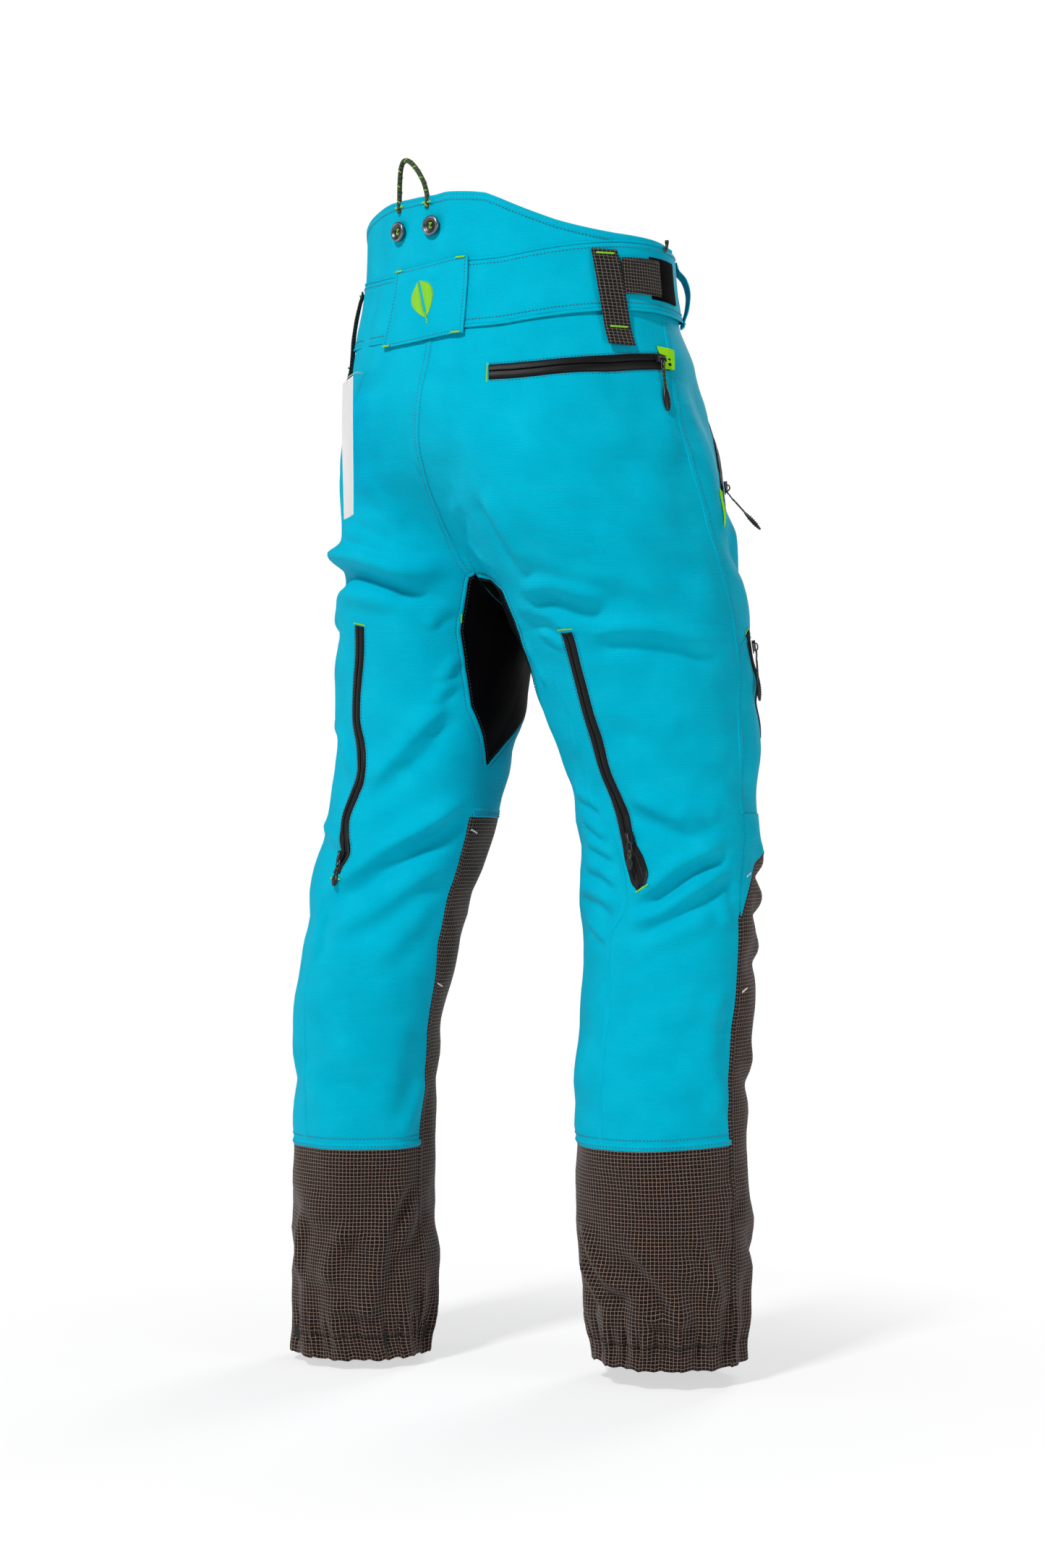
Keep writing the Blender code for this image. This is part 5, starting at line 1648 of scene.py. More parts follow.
belt("waistband_shell", (-180.0, 180.0), band_low, band_top, (540, 22), up=0.0020,
     thick=0.0034, mat=CYAN, ring=True, slot="stretch_cloth", replaces=("waistband",),
     relief=band_relief)
belt("back_yoke_shell", (-158.0, 112.0), lambda t: band_top(t) - 0.0030, yoke_top, (400, 20),
     up=0.0010, thick=0.0030, mat=CYAN, slot="stretch_cloth", replaces=("back_yoke",),
     relief=yoke_relief)
# facing inside the waist
belt("waist_facing", (-180.0, 180.0), lambda t: band_low(t) + 0.002,
     lambda t: band_top(t) - 0.003, (180, 4), up=-0.0018, thick=0.0010, mat=LINING, ring=True,
     slot="lining")


# ---------------------------------------------------- seams and stitches
def seam(name, side, line, mat=CYAN, width=0.0075, height=0.0009, stitches=(), group="cyan",
         slot="stretch_cloth"):
    """Felled seam along line, a (points, normals) pair, with rows of stitches at offsets."""
    ribbon(name, side, *line, width, height, mat, ripple=0.10, slot=slot)
    for across in stitches:
        stitch_row(side, *line, across=across, lift=height * 0.75, group=group)


CENTRE_BACK = [(9.0, 1.028), (9.0, 1.004), (8.2, 0.972), (6.6, 0.944), (3.2, 0.904),
               (-2.2, 0.868), (-6.4, 0.836), (-6.4, 0.812), (-4.5, 0.801)]      # theta, z


def centre_back_seam():
    line = line_on_torso(None, CENTRE_BACK, 0.004)
    ribbon("seam_centre_back", None, *line, 0.0085, 0.0010, CYAN, zone="waist", ripple=0.10)
    for across in (-0.0026, 0.0026):
        stitch_row(None, *line, across=across, lift=0.0007, zone="waist")


def leg_seams(side, word):
    half, knee, shin = HALF[side], KNEE_ZONE[side], f"shin_{word}"
    # side seam, and on down between the cloth and the shin panel
    z = np.arange(KNEE_TOP + 0.001, 1.052, 0.004)
    line = half.line(np.interp(z, ROW_Z, half.phi[:, SIDE_COL]), z)
    seam(f"seam_side_{word}", side, line, stitches=(-0.0024,))
    z = np.arange(0.004, 0.5585, 0.003)
    phi = np.maximum(np.interp(z, ROW_Z, half.side_seam),
                     np.interp(z, KNEE_SEAM_Z, KNEE_SEAM_PHI, left=0.0))
    seam(f"seam_shin_outer_{word}", side, half.line(phi, z), mat=BROWN, height=0.0010,
         stitches=(-0.0022,), group="brown", slot="ripstop_cloth")
    # inside leg
    z = np.arange(0.004, KNEE_TOP - 0.001, 0.004)
    ribbon(f"seam_inside_lower_{word}", side,
           *half.line(np.interp(z, ROW_Z, half.back_edge), z), 0.0060, 0.0009, BROWN,
           profile="round", zone=knee, slot="ripstop_cloth", fitted=False)
    # top edge of the brown panel, under a turned cyan hem
    end = float(np.interp(KNEE_TOP, ROW_Z, half.front_edge)) - 0.2
    line = skin(half.at(np.linspace(148.0, end, 80), KNEE_TOP + 0.001), side)
    ribbon(f"seam_knee_top_{word}", side, *line, 0.0095, 0.0010, CYAN, zone=knee)
    for across in (0.0, 0.0026):
        stitch_row(side, *line, across=across, lift=0.0009, zone=knee)
    # top of the cuff
    phi = np.linspace(float(np.interp(CUFF_Z, ROW_Z, half.back_edge)) + 0.3,
                      float(np.interp(CUFF_Z, ROW_Z, half.side_seam)) - 0.2, 90)
    line = skin(half.at(phi, 0.2245), side)
    ribbon(f"seam_cuff_{word}", side, *line, 0.0070, 0.0010, CYAN, profile="round", zone=knee,
           ripple=0.08)
    stitch_row(side, *skin(half.at(phi, 0.2325), side), lift=0.0002, zone=knee)
    stitch_row(side, *line, lift=0.0010, zone=knee)
    # hem stitching, and below it painted shade: a near-black strip laid along the fold line of
    # the elastic tunnel, standing for the shade in its crease
    phi = np.linspace(float(half.back_edge[0]), float(half.front_edge[0]), 220)
    ribbon(f"seam_hem_{word}", side, *half.line(phi, 0.0240), 0.0011, 0.0004, ZIP_TAPE,
           profile="round", zone=shin, slot="ripstop_cloth", fitted=False)
    stitch_row(side, *half.line(phi, 0.0265), lift=0.0001, zone=shin, fitted=False,
               group="brown")


def centre_front_seam():
    z = np.linspace(1.046, 0.775, 60)
    line = skin(np.stack([np.zeros_like(z), torso(180.0, z)[:, 1], z], axis=-1))
    ribbon("seam_centre_front", None, *line, 0.0085, 0.0010, CYAN, zone="waist", ripple=0.08)


def fly_shield_stitches():
    """Two rows on the right of the fly zip."""
    z = np.linspace(1.044, 0.90, 40)
    theta = 180 - np.interp(z, [0.90, 0.925, 0.955, 1.05], [2.0, 13.0, 17.0, 17.5])
    line = skin(torso(theta, z), -1)
    for across in (0.0, 0.003):
        stitch_row(-1, *line, across=across, lift=0.0002, zone="waist")


centre_back_seam()
for side, word in SIDES:
    leg_seams(side, word)
# down the back of each calf: (phi, z)
seam("seam_calf_right", -1, line_on(-1, [
    (-12, 0.700), (-10, 0.68), (-11, 0.644), (-15, 0.590), (-6, 0.565), (0, 0.545), (4, 0.524),
    (8, 0.496), (7, 0.466), (-3, 0.445), (-6, 0.42), (-5, 0.388), (-4, 0.32), (-3, 0.2345)]),
    width=0.0065, height=0.0007)
seam("seam_calf_left", 1, line_on(1, [
    (8, 0.475), (9, 0.444), (12, 0.40), (9, 0.30), (5, 0.226)]), width=0.0060, height=0.0006)
# across the front of each thigh: phi of both ends
for side, word, start, end in ((-1, "right", 102, 228), (1, "left", 98, 222)):
    seam(f"seam_thigh_{word}", side, line_on(side, [
        (start, 0.72), (118, 0.735), (150, 0.742), (190, 0.74), (end, 0.76)]),
        width=0.0065, height=0.0008, stitches=(-0.0022,))
centre_front_seam()
fly_shield_stitches()


# ---------------------------------------------------------------- gusset
def gusset(name, side, edge_line):
    """Black panel let in between the legs: from the inseam to an edge line of (z, phi),
    back and front."""
    half, zone = HALF[side], HIP_ZONE[side]
    table = np.array(edge_line)
    top = table[:, 0].max()
    z = np.append(np.arange(table[:, 0].min(), top, 0.003), top)
    limit = np.interp(z, table[:, 0], table[:, 1])
    back = np.interp(z, ROW_Z, half.back_edge)
    front = np.interp(z, ROW_Z, half.front_edge)
    share = np.linspace(0, 1, 27)
    back_end = np.maximum(limit, back + 0.05)
    front_start = front - np.clip((limit - back) * 0.8, 0, 60)
    # part, first and last angle, angle of the free edge, distance from it, stitching side
    for part, start, end, free, away, sign in (
            ("back", back, back_end, back_end, 1 - share, side),
            ("front", front_start, front, front_start, share, -side)):
        phi = start[:, None] + (end - start)[:, None] * share[None]
        rows = np.broadcast_to(z[:, None], phi.shape)
        up = 0.0006 * np.minimum(1, away * 10)[None] + 0.0002
        sheet(f"{name}_{part}", half.at(phi, rows, up), half.normal(phi, rows),
              np.stack([np.radians(phi) * 0.09, rows], axis=-1), BLACK, zone,
              slot="black_laminate",
              replaces=("crotch_gusset",) if part == "back" and side < 0 else ())
        line = half.line(free, z)
        ribbon(f"{name}_{part}_seam", side, *line, 0.0045, 0.0010, CYAN, profile="round",
               zone=zone, ripple=0.12)
        stitch_row(side, *line, across=0.0036 * sign, lift=0.0002, zone=zone)
        stitch_row(side, *line, across=-0.004 * sign, lift=0.0008, zone=zone, group="black")


gusset("gusset_right", -1, [(0.610, -91.0), (0.65, -66.0), (0.69, -46.0), (0.72, -35.0),
                            (0.752, -27.0), (0.7835, -25.0), (0.799, -49.0)])
gusset("gusset_left", 1, [(0.610, -91.0), (0.640, -80.0), (0.668, -68.5), (0.70, -64.0),
                          (0.72, -61.0), (0.744, -58.0), (0.775, -58.5), (0.799, -59.0),
                          (0.8015, -61.5)])
# lime tack where the gusset meets the inside leg
tack_at, tack_normal = skin(HALF[1].plain(-59.0, 0.757), 1)
bar_tack(tack_at[0], (0, 0, 1), tack_normal[0], length=0.009, width=0.0016, zone="hipL",
         lift=0.0012)


# ------------------------------------------------------------------ zips
TOOTH_PITCH = 0.0014
TOOTH_SIZE = (0.0010, 0.0016, 0.0010)
ZIP_SLIT = 0.0007        # between the two lips
ZIP_LIFT = 0.0002


def teeth_row(group, points, normals, across, zone):
    tangent, cross = frames(points, normals)
    row = points + cross * across[:, None]
    along = lengths(row)
    held = bag(group, TEETH, zone)
    for k in range(int(along[-1] / TOOTH_PITCH)):
        where = (k + 0.5) * TOOTH_PITCH
        middle, up, on = (sample(where, along, a) for a in (row, normals, tangent))
        axes = (on, unit(np.cross(up, on)), up)
        held.add(*rounded_box(TOOTH_SIZE, middle + up * 0.0006, axes, 0.00025, 1))


def zip_in_cloth(name, side, line, width, gap=None, zone=None, replaces=(),
                 lime_ends=(True, True), height=0.0013, tack_gap=(0.0018, 0.0018)):
    """Laminated zip: tape, two lips that meet over the coil, open where gap (one value per
    point) says so, with lime tacks beyond its ends."""
    points, normals = line
    _, across = frames(points, normals)
    width = np.broadcast_to(np.asarray(width, float), (len(points),))
    gap = np.zeros(len(points)) if gap is None else gap
    ribbon(f"{name}_tape", side, points, normals, np.maximum(width, gap + 0.008), 0.0006,
           ZIP_TAPE, profile="tape", lift=ZIP_LIFT * 0.5, zone=zone, slot="black_laminate",
           replaces=replaces)
    lip = np.maximum((width - ZIP_SLIT) / 2 - 0.0006, 0.0030)
    # each lip's section is turned the opposite way to the other's
    for word, sign, profile in (("left_lip", 1, "lip_mirrored"), ("right_lip", -1, "lip")):
        off = ZIP_SLIT / 2 + lip / 2 + gap / 2
        lip_line = skin(points + across * (sign * off)[:, None], side)
        ribbon(f"{name}_{word}", side, *lip_line, lip, height, WELT, profile=profile,
               lift=ZIP_LIFT + 0.0004, zone=zone, slot="black_laminate")
    if gap.max() > 0.0015:
        is_open = gap > 0.0008
        first, last = np.argmax(is_open), len(is_open) - np.argmax(is_open[::-1])
        part = slice(first, last)
        for sign in (-1, 1):
            teeth_row(f"{name}_teeth", points[part], normals[part],
                      sign * (gap[part] / 2 - 0.0004), zone or zone_of(side, points[first, 2]))
    for sign in (-1, 1):
        stitch_row(side, points, normals, across=sign * (width.mean() / 2 + 0.0016),
                   lift=0.0001, zone=zone, pitch=0.0034)
    for tacked, i, j, away in zip(lime_ends, (0, -1), (1, -2), tack_gap):
        if tacked:
            at, up = skin(points[i] + unit(points[i] - points[j]) * away, side)
            bar_tack(at[0], across[i], up[0], length=width[i] + 0.004, width=0.0017,
                     height=0.0006, zone=zone or zone_of(side, points[i, 2]), lift=0.0001)


def vent_zips():
    """Down the back of each thigh; the right one gapes near its lower end."""
    line = line_on(-1, [(8, 0.741), (6, 0.70), (5, 0.66), (5, 0.62), (7, 0.585), (11, 0.557),
                        (14, 0.532), (18, 0.508), (22, 0.489)], 0.003)
    along = lengths(line[0])
    share = along / along[-1]
    zip_in_cloth("vent_zip_right", -1, line, 0.0120 + 0.0018 * share,
                 gap=0.0085 * smooth(0.80, 0.90, share) * smooth(1.0, 0.965, share),
                 replaces=("vent_zip_tape_right",), tack_gap=(0.0045, 0.0018))
    line = line_on(1, [(-1, 0.750), (2, 0.72), (5, 0.69), (6, 0.655), (1, 0.628), (-4, 0.602),
                       (0, 0.58), (2, 0.555), (0, 0.538), (-5, 0.518), (-5, 0.496)], 0.003)
    zip_in_cloth("vent_zip_left", 1, line, 0.0115, replaces=("vent_zip_tape_left",),
                 tack_gap=(0.0018, 0.0050))


def pocket_zips():
    line = line_on_torso(-1, [(33.0, 0.984), (48, 0.9875), (62, 0.9920), (76, 0.9965),
                              (86, 0.9995), (91.5, 1.0005)], 0.003)
    zip_in_cloth("hip_zip", -1, line, 0.0165, zone="waist", replaces=("hip_zip_tape",),
                 lime_ends=(True, False), height=0.0018)
    for side, word in SIDES:
        line = line_on(side, [(150, 0.985), (139, 0.945), (128, 0.905), (117, 0.866)], 0.003)
        zip_in_cloth(f"hand_zip_{word}", side, line, 0.0125, zone="waist",
                     replaces=(f"hand_zip_tape_{word}",))
    line = line_on(-1, [(117, 0.740), (124, 0.705), (132, 0.67), (140, 0.638)], 0.003)
    zip_in_cloth("thigh_zip", -1, line, 0.0125, replaces=("thigh_zip_tape",),
                 tack_gap=(0.0018, 0.0065))


def fly_zip():
    line = skin(torso(179.99, np.linspace(0.903, 1.044, 48)))
    zip_in_cloth("fly_zip", None, line, 0.0135, zone="waist", replaces=("fly_zip_tape",),
                 lime_ends=(True, False))


vent_zips()
pocket_zips()
fly_zip()


# ------------------------------------------------------ sliders and pulls
ZIP_CLEARANCE = 0.0009
ZIP_WIDTH = 0.014
TAPE_THICK = 0.0014          # a zip tape with its laminated welt
SLIDER_BASE = TAPE_THICK + 0.0006
SLIDER_LENGTH, SLIDER_WIDTH, SLIDER_HEIGHT = 0.012, 0.009, 0.0045


def turn(vector, axis, degrees):
    angle = np.radians(degrees)
    return (vector * np.cos(angle) + np.cross(axis, vector) * np.sin(angle)
            + axis * (axis @ vector) * (1 - np.cos(angle)))


def slider_rest(start, end, rest):
    """Where a slider rests at share rest of the arc its zip follows: the point, the directions
    along, across and outwards, and the height of the tape over the arc."""
    middle = (start + end) / 2
    chord = end - start
    along = unit(chord)
    normal = outward(middle)
    normal = unit(normal - along * (normal @ along))
    bulge = bisect(lambda h: depth(middle + normal * h) < 0, -0.06, 0.06, 40)
    if abs(bulge) < 0.0004:
        bulge = 0.0004
    half = np.linalg.norm(chord) / 2
    radius = (half**2 + bulge**2) / (2 * abs(bulge))
    sign = 1.0 if bulge > 0 else -1.0
    origin = middle + normal * (bulge - sign * radius)
    axis = unit(np.cross(start - origin, end - origin))
    swing = 2 * np.degrees(np.arcsin(min(1.0, half / radius)))

    def at(share):
        spoke = turn(start - origin, axis, swing * share)
        return origin + spoke, unit(spoke)

    sunk = 0.0
    for share in np.linspace(0, 1, 21):
        point, _ = at(share)
        for across in (-0.5, 0, 0.5):
            sunk = max(sunk, -float(depth(point + axis * across * ZIP_WIDTH)))
    point, spoke = at(rest)
    return point, np.cross(axis, spoke), axis, sign * spoke, sunk + ZIP_CLEARANCE


# name: rest of the slider, length of its pull (0 for none)
SLIDERS = {
    "hip": (slider_rest(torso(27.0, 0.988), torso(93.0, 1.000), 0.90), 0.047),
    "hand_right": (slider_rest(leg(-1, 150.0, 0.985), leg(-1, 117.0, 0.868), 0.88), 0.047),
    "hand_left": (slider_rest(leg(1, 150.0, 0.985), leg(1, 117.0, 0.868), 0.88), 0.047),
    "thigh": (slider_rest(leg(-1, 118.0, 0.735), leg(-1, 140.0, 0.640), 0.10), 0.047),
    "vent_right": (slider_rest(leg(-1, 6.0, 0.742), leg(-1, 21.0, 0.497), 0.84), 0.024),
    "vent_left": (slider_rest(leg(1, 0.0, 0.745), leg(1, -4.0, 0.498), 0.93), 0.024),
    "fly": (slider_rest(torso(180.0, 0.905), torso(180.0, 1.040), 0.93), 0.0),
}
PULL_LEAN = {"hand_right": 0.62}      # stiff cord stands away from the cloth
PULL_REACH = 0.043                    # how far down the cloth is looked at under a pull


def pull_frame(name, rest):
    """Head of a hanging pull, and its lengthwise, sideways and outward directions."""
    at, tangent, across, out, lift = rest
    head = at + out * (lift + SLIDER_BASE + SLIDER_HEIGHT * 0.75)
    drop = SLIDER_WIDTH / 2 if abs(across[2]) > abs(tangent[2]) else SLIDER_LENGTH / 2
    down = -np.array((0, 0, 1.0))
    normal = outward(head)
    way = unit(down - normal * (down @ normal))
    head = head + way * (drop + 0.0010)
    tip = head + way * PULL_REACH
    low = min(float(depth(tip)) - 0.006, float(depth((tip + head) / 2)) - 0.006, 0.0)
    way = unit(way * PULL_REACH - normal * low * 1.3)
    way = unit(way + normal * PULL_LEAN.get(name, 0.0))
    sideways = unit(np.cross(way, normal))
    return head, way, sideways, np.cross(sideways, way)


def slider_cast(name, rest):
    """Two plates, waisted towards the closed end, joined by a post and side walls, with the
    puller's bridge on top."""
    at, tangent, across, out, lift = rest
    axes = (tangent, across, out)
    at = at + out * (lift + SLIDER_BASE + SLIDER_HEIGHT / 2)
    cast = Bag()
    for height, thick in ((-0.0016, 0.0011), (0.0008, 0.0012)):
        points, faces = rounded_box((0.0120, 0.0088, thick), (0, 0, 0), np.eye(3), 0.0005)
        x = points[:, 0] / 0.006
        points[:, 1] *= 1 - 0.30 * np.clip(x, 0, 1) ** 1.5 - 0.10 * np.clip(-x, 0, 1) ** 4
        cast.add(at + points[:, :1] * tangent + points[:, 1:2] * across
                 + (points[:, 2:] + height) * out, faces)
    cast.add(*rounded_box((0.0040, 0.0020, 0.0030), at + tangent * 0.002 - out * 0.0004, axes,
                          0.0004))
    for sign in (-1, 1):
        wall_at = at - tangent * 0.0012 + across * sign * 0.0037 - out * 0.0006
        cast.add(*rounded_box((0.0086, 0.0008, 0.0022), wall_at, axes, 0.0003, 1))
    arch = [at + tangent * x + out * y for x, y in
            ((-0.0040, 0.0012), (-0.0036, 0.0024), (-0.0022, 0.0031), (0.0, 0.0033),
             (0.0020, 0.0030), (0.0034, 0.0022), (0.0038, 0.0012))]
    cast.add(*tube(arch, 0.00075)[:2])
    cast.build(f"{name}_slider_cast", DARK_METAL, f"{name}_zip_slider", sharp=35,
               slot="gunmetal", replaces=(f"{name}_slider",))


# wire link from the bridge: along, sideways, out, one side down to the tip
LINK = [(-0.0035, 0.0, 0.0006), (-0.0022, 0.0018, 0.0006), (0.0010, 0.0023, 0.0004),
        (0.0042, 0.0021, 0.0), (0.0060, 0.0010, 0.0), (0.0064, 0.0, 0.0)]
LINK += [(a, -s, u) for a, s, u in LINK[-2::-1]]


def zip_pull(name, rest, length):
    """Wire link, two cords and a moulded grip."""
    head, way, sideways, normal = pull_frame(name, rest)
    body = f"{name}_zip_pull"

    def at(along, side=0.0, up=0.0):
        return head + way * along + sideways * side + normal * up

    points, faces, _ = tube([at(*spot) for spot in LINK], 0.0006)
    piece(f"{name}_pull_link", points, faces, DARK_METAL, body, slot="gunmetal",
          replaces=(f"{name}_pull",))
    long_pull = length > 0.03
    grip_length = 0.0240 if long_pull else 0.0130
    start = length - grip_length
    cords = Bag()
    for sign in (-1, 1):
        path = [at(0.0052), at(0.0066, 0.0011 * sign), at(0.0095, 0.0012 * sign, 0.0001),
                at(start + 0.002, 0.0010 * sign)]
        cords.add(*tube(resample(path, 0.0010), 0.00085))
    cords.build(f"{name}_pull_cord", CORD, body, with_uv=True, slot="cord")
    # moulded end: a flattened capsule with grip ribs
    grip = Bag()
    rings, seg = 17, 20
    points = []
    for i in range(rings):
        x = i / (rings - 1)
        swell = math.sin(math.pi * min(1, max(0, 0.04 + 0.92 * x))) ** 0.42
        wide = (0.0043 if long_pull else 0.0036) * swell * (0.80 + 0.20 * smooth(0.0, 0.5, x))
        tall = 0.0021 * swell
        for k in range(seg):
            angle = 2 * math.pi * k / seg
            cos, sin = math.cos(angle), math.sin(angle)
            points.append(at(start + grip_length * x,
                             wide * abs(cos) ** 0.8 * (1 if cos > 0 else -1),
                             tall * abs(sin) ** 0.8 * (1 if sin > 0 else -1)))
    grip.add(points, capped_tube_faces(rings, seg))
    for i in range(5 if long_pull else 3):
        rib_at = start + grip_length * (0.34 + 0.10 * i)
        for sign in (-1, 1):
            grip.add(*rounded_box((0.0040, 0.0007, 0.0006), at(rib_at, 0, sign * 0.0021),
                                  (sideways, way, normal), 0.0002, 1))
    grip.build(f"{name}_pull_grip", PLASTIC, body, sharp=50, slot="cord")


for name, (rest, pull_length) in SLIDERS.items():
    slider_cast(name, rest)
    if pull_length:
        zip_pull(name, rest, pull_length)


# ---------------------------------------------------- details of the waist
def belt_line(theta, z_of, up, step=0.003):
    """Evenly spaced points and normals round the waist."""
    points, normals = around(theta, z_of(theta), up)
    along = lengths(points)
    even = np.linspace(0, along[-1], max(2, int(along[-1] / step)))
    return sample(even, along, points), unit(sample(even, along, normals))


def waist_stitches(theta, z_of, up):
    stitch_row(-1, *belt_line(theta, z_of, up), lift=0.0, zone="waist", fitted=False)


def waist_ridge(name, theta, z_of, up, height):
    ribbon(name, -1, *belt_line(theta, z_of, up), 0.0030, height, CYAN, profile="round",
           zone="waist", fitted=False, ripple=0.15)


def waist_tack(theta, z, up, **details):
    """Lime tack lying along the waist."""
    at, normal = around(theta, z, up)
    bar_tack(at, around(theta + 1.0, z, up)[0] - at, normal, **details)


FULL_TURN = np.linspace(-179.9, 179.9, 720)
YOKE_RUN = np.linspace(-150, 104, 620)
waist_stitches(FULL_TURN, lambda t: band_low(t) + 0.0062, 0.0021)
waist_stitches(FULL_TURN, lambda t: band_top(t) - 0.0050, 0.0022)
waist_ridge("seam_band_lower", FULL_TURN, lambda t: band_low(t) - 0.0004, 0.0019, 0.0007)
waist_ridge("seam_band_upper", YOKE_RUN, lambda t: band_top(t) + 0.0005, 0.0014, 0.0009)
waist_stitches(YOKE_RUN, lambda t: yoke_top(t) - 0.0078, 0.0010)
waist_stitches(YOKE_RUN, lambda t: yoke_top(t) - 0.0030, 0.0010)


# ----------------------------------------------------------------- label
LABEL_START, LABEL_END = -13.5, 23.5      # theta
LABEL_SPAN = LABEL_END - LABEL_START
LABEL_UP = 0.0046


def label_low(theta):
    return band_low(theta) - 0.0080


def label_high(theta):
    return band_top(theta) + 0.0040


def blister(theta, z, share):
    """Relief of the label, puffed inside its stitched border."""
    across = (theta - LABEL_START) / LABEL_SPAN
    rim = np.minimum(np.minimum(across, 1 - across) * LABEL_SPAN * 0.0024,
                     np.minimum(share, 1 - share) * 0.078)
    relief = 0.0013 * smooth(0.003, 0.014, rim) - 0.0002 * bell(rim, 0.0028, 0.0010)
    relief = relief + 0.0009 * smooth(0.0, 0.006, 0.006 - rim) * 0.4
    return relief + 0.0006 * np.sin(across * 5.0 + share * 3.0) * smooth(0.004, 0.02, rim)


def label_at(theta, z, up=0.0):
    low = label_low(theta)
    share = (z - low) / (label_high(theta) - low)
    return around(theta, z, LABEL_UP + blister(theta, z, share) + up)


def label():
    """A stitched patch of the same cloth, blistered a little."""
    belt("label_patch_cloth", (LABEL_START, LABEL_END), label_low, label_high, (74, 60),
         up=LABEL_UP, thick=0.0020, mat=CYAN, slot="label_cloth", replaces=("label_patch",),
         relief=blister)
    start, end = LABEL_START + 1.3, LABEL_END - 1.3
    theta = np.linspace(start, end, 90)
    share = np.linspace(0.036, 0.964, 90)
    borders = [(theta, label_low(theta) + 0.0028), (theta, label_high(theta) - 0.0028)]
    for edge_theta in (start, end):
        theta = np.full(90, edge_theta)
        low = label_low(theta)
        borders.append((theta, low + share * (label_high(theta) - low)))
    for theta, z in borders:
        stitch_row(-1, *label_at(theta, z), lift=0.0001, zone="waist", fitted=False)
    # lime tacks near the corners
    for theta, top in ((-10.9, True), (20.5, True), (-10.9, False), (20.7, False)):
        z = label_high(theta) - 0.0012 if top else label_low(theta) + 0.0012
        at, normal = label_at(theta, z)
        bar_tack(at, label_at(theta + 1.0, z)[0] - at, normal, length=0.0105, width=0.0020,
                 lift=0.0006)


# along, radius, height of the rings of one long stitch
LONG_STITCH = ((0.0, 0.3, -0.8), (0.12, 0.9, 0.0), (0.5, 1.0, 0.5), (0.88, 0.9, 0.0),
               (1.0, 0.3, -0.8))


def long_stitch(held, start, end, normal, radius):
    way = end - start
    size = np.linalg.norm(way)
    if size < 1e-5:
        return
    way = way / size
    across = np.cross(normal, way)
    points = []
    for along, swell, height in LONG_STITCH:
        base = start + way * size * along + normal * height * radius
        for cos, sin in STITCH:
            points.append(base + across * cos * swell * radius + normal * sin * swell * radius)
    held.add(points, STITCH_FACES)


def leaf():
    """A plain embroidered leaf on the label."""
    held = bag("leaf_motif", LIME_THREAD, "waist")
    leaf_theta, leaf_z, tilt = 5.0, 1.061, math.radians(-24)
    length, wide, rows = 0.043, 0.0140, 46
    per_degree = float(np.linalg.norm(torso(0.5, leaf_z) - torso(-0.5, leaf_z)))
    cos, sin = math.cos(tilt), math.sin(tilt)

    def at(x, y, up=0.0004):
        return label_at(leaf_theta - (x * cos - y * sin) / per_degree,
                        leaf_z + (x * sin + y * cos), up)

    for i in range(rows):
        share = (i + 0.5) / rows
        y = (share - 0.46) * length
        half_width = wide * math.sin(math.pi * share ** 0.80) ** 0.9
        if half_width < 0.0012:
            continue
        for sign in (-1, 1):
            start, normal = at(sign * 0.0011, y)
            end, _ = at(sign * half_width, y + half_width * 0.55)
            long_stitch(held, start, end, normal, 0.00050)
    # stalk
    for i in range(5):
        start, normal = at(0.0, (i / 16 - 0.62) * length, 0.0006)
        end, _ = at(0.0, ((i + 0.9) / 16 - 0.62) * length, 0.0006)
        long_stitch(held, start, end, normal, 0.00075)


label()
leaf()


# --------------------------------------------------------------- buttons
# turned profile, radius and height shares: centre, dish, rim, underside
BUTTON_PROFILE = [(0.0, 0.45), (0.52, 0.45), (0.60, 0.50), (0.70, 0.85), (0.80, 1.0),
                  (0.90, 0.98), (0.97, 0.80), (1.0, 0.50), (0.98, 0.15), (0.90, 0.0)]
BUTTON_CENTRE = [(0.0, 0.47), (0.50, 0.47), (0.53, 0.44)]


def turned(at, axes, profile, radius, height, seg, up=0.0):
    """Points and faces of a profile turned about the z axis of axes, from its centre out."""
    x, y, z = axes
    points = [at + z * (profile[0][1] * height + up)]
    for share, high in profile[1:]:
        for k in range(seg):
            angle = 2 * math.pi * k / seg
            points.append(at + (x * math.cos(angle) + y * math.sin(angle)) * share * radius
                          + z * (high * height + up))
    faces = [(0, 1 + k, 1 + (k + 1) % seg) for k in range(seg)]
    rings = quads(len(profile) - 1, seg, wrap=True)[:, [0, 3, 2, 1]] + 1
    return points, faces + rings.tolist()


def button(name, theta, z, lift, radius, with_thread=True):
    """Four-hole button with a dark centre."""
    spot = torso(theta, z)
    out = outward(spot)
    at = spot + out * lift
    x = unit(np.cross((0, 0, 1.0), out))
    axes = (x, np.cross(out, x), out)
    height, seg = 0.0040, 48
    points, faces = turned(at, axes, BUTTON_PROFILE, radius, height, seg)
    faces.append(tuple(1 + (len(BUTTON_PROFILE) - 2) * seg + k for k in range(seg)))
    piece(f"{name}_cap", points, faces, GUNMETAL, "waist", sharp=50, slot="gunmetal",
          replaces=(name,))
    points, faces = turned(at, axes, BUTTON_CENTRE, radius, height, 24, up=0.0001)
    piece(f"{name}_centre", points, faces, PLASTIC, "waist", slot="gunmetal")
    if with_thread:
        button_thread(at + out * (0.50 * height + 0.0002), axes, radius * 0.22)


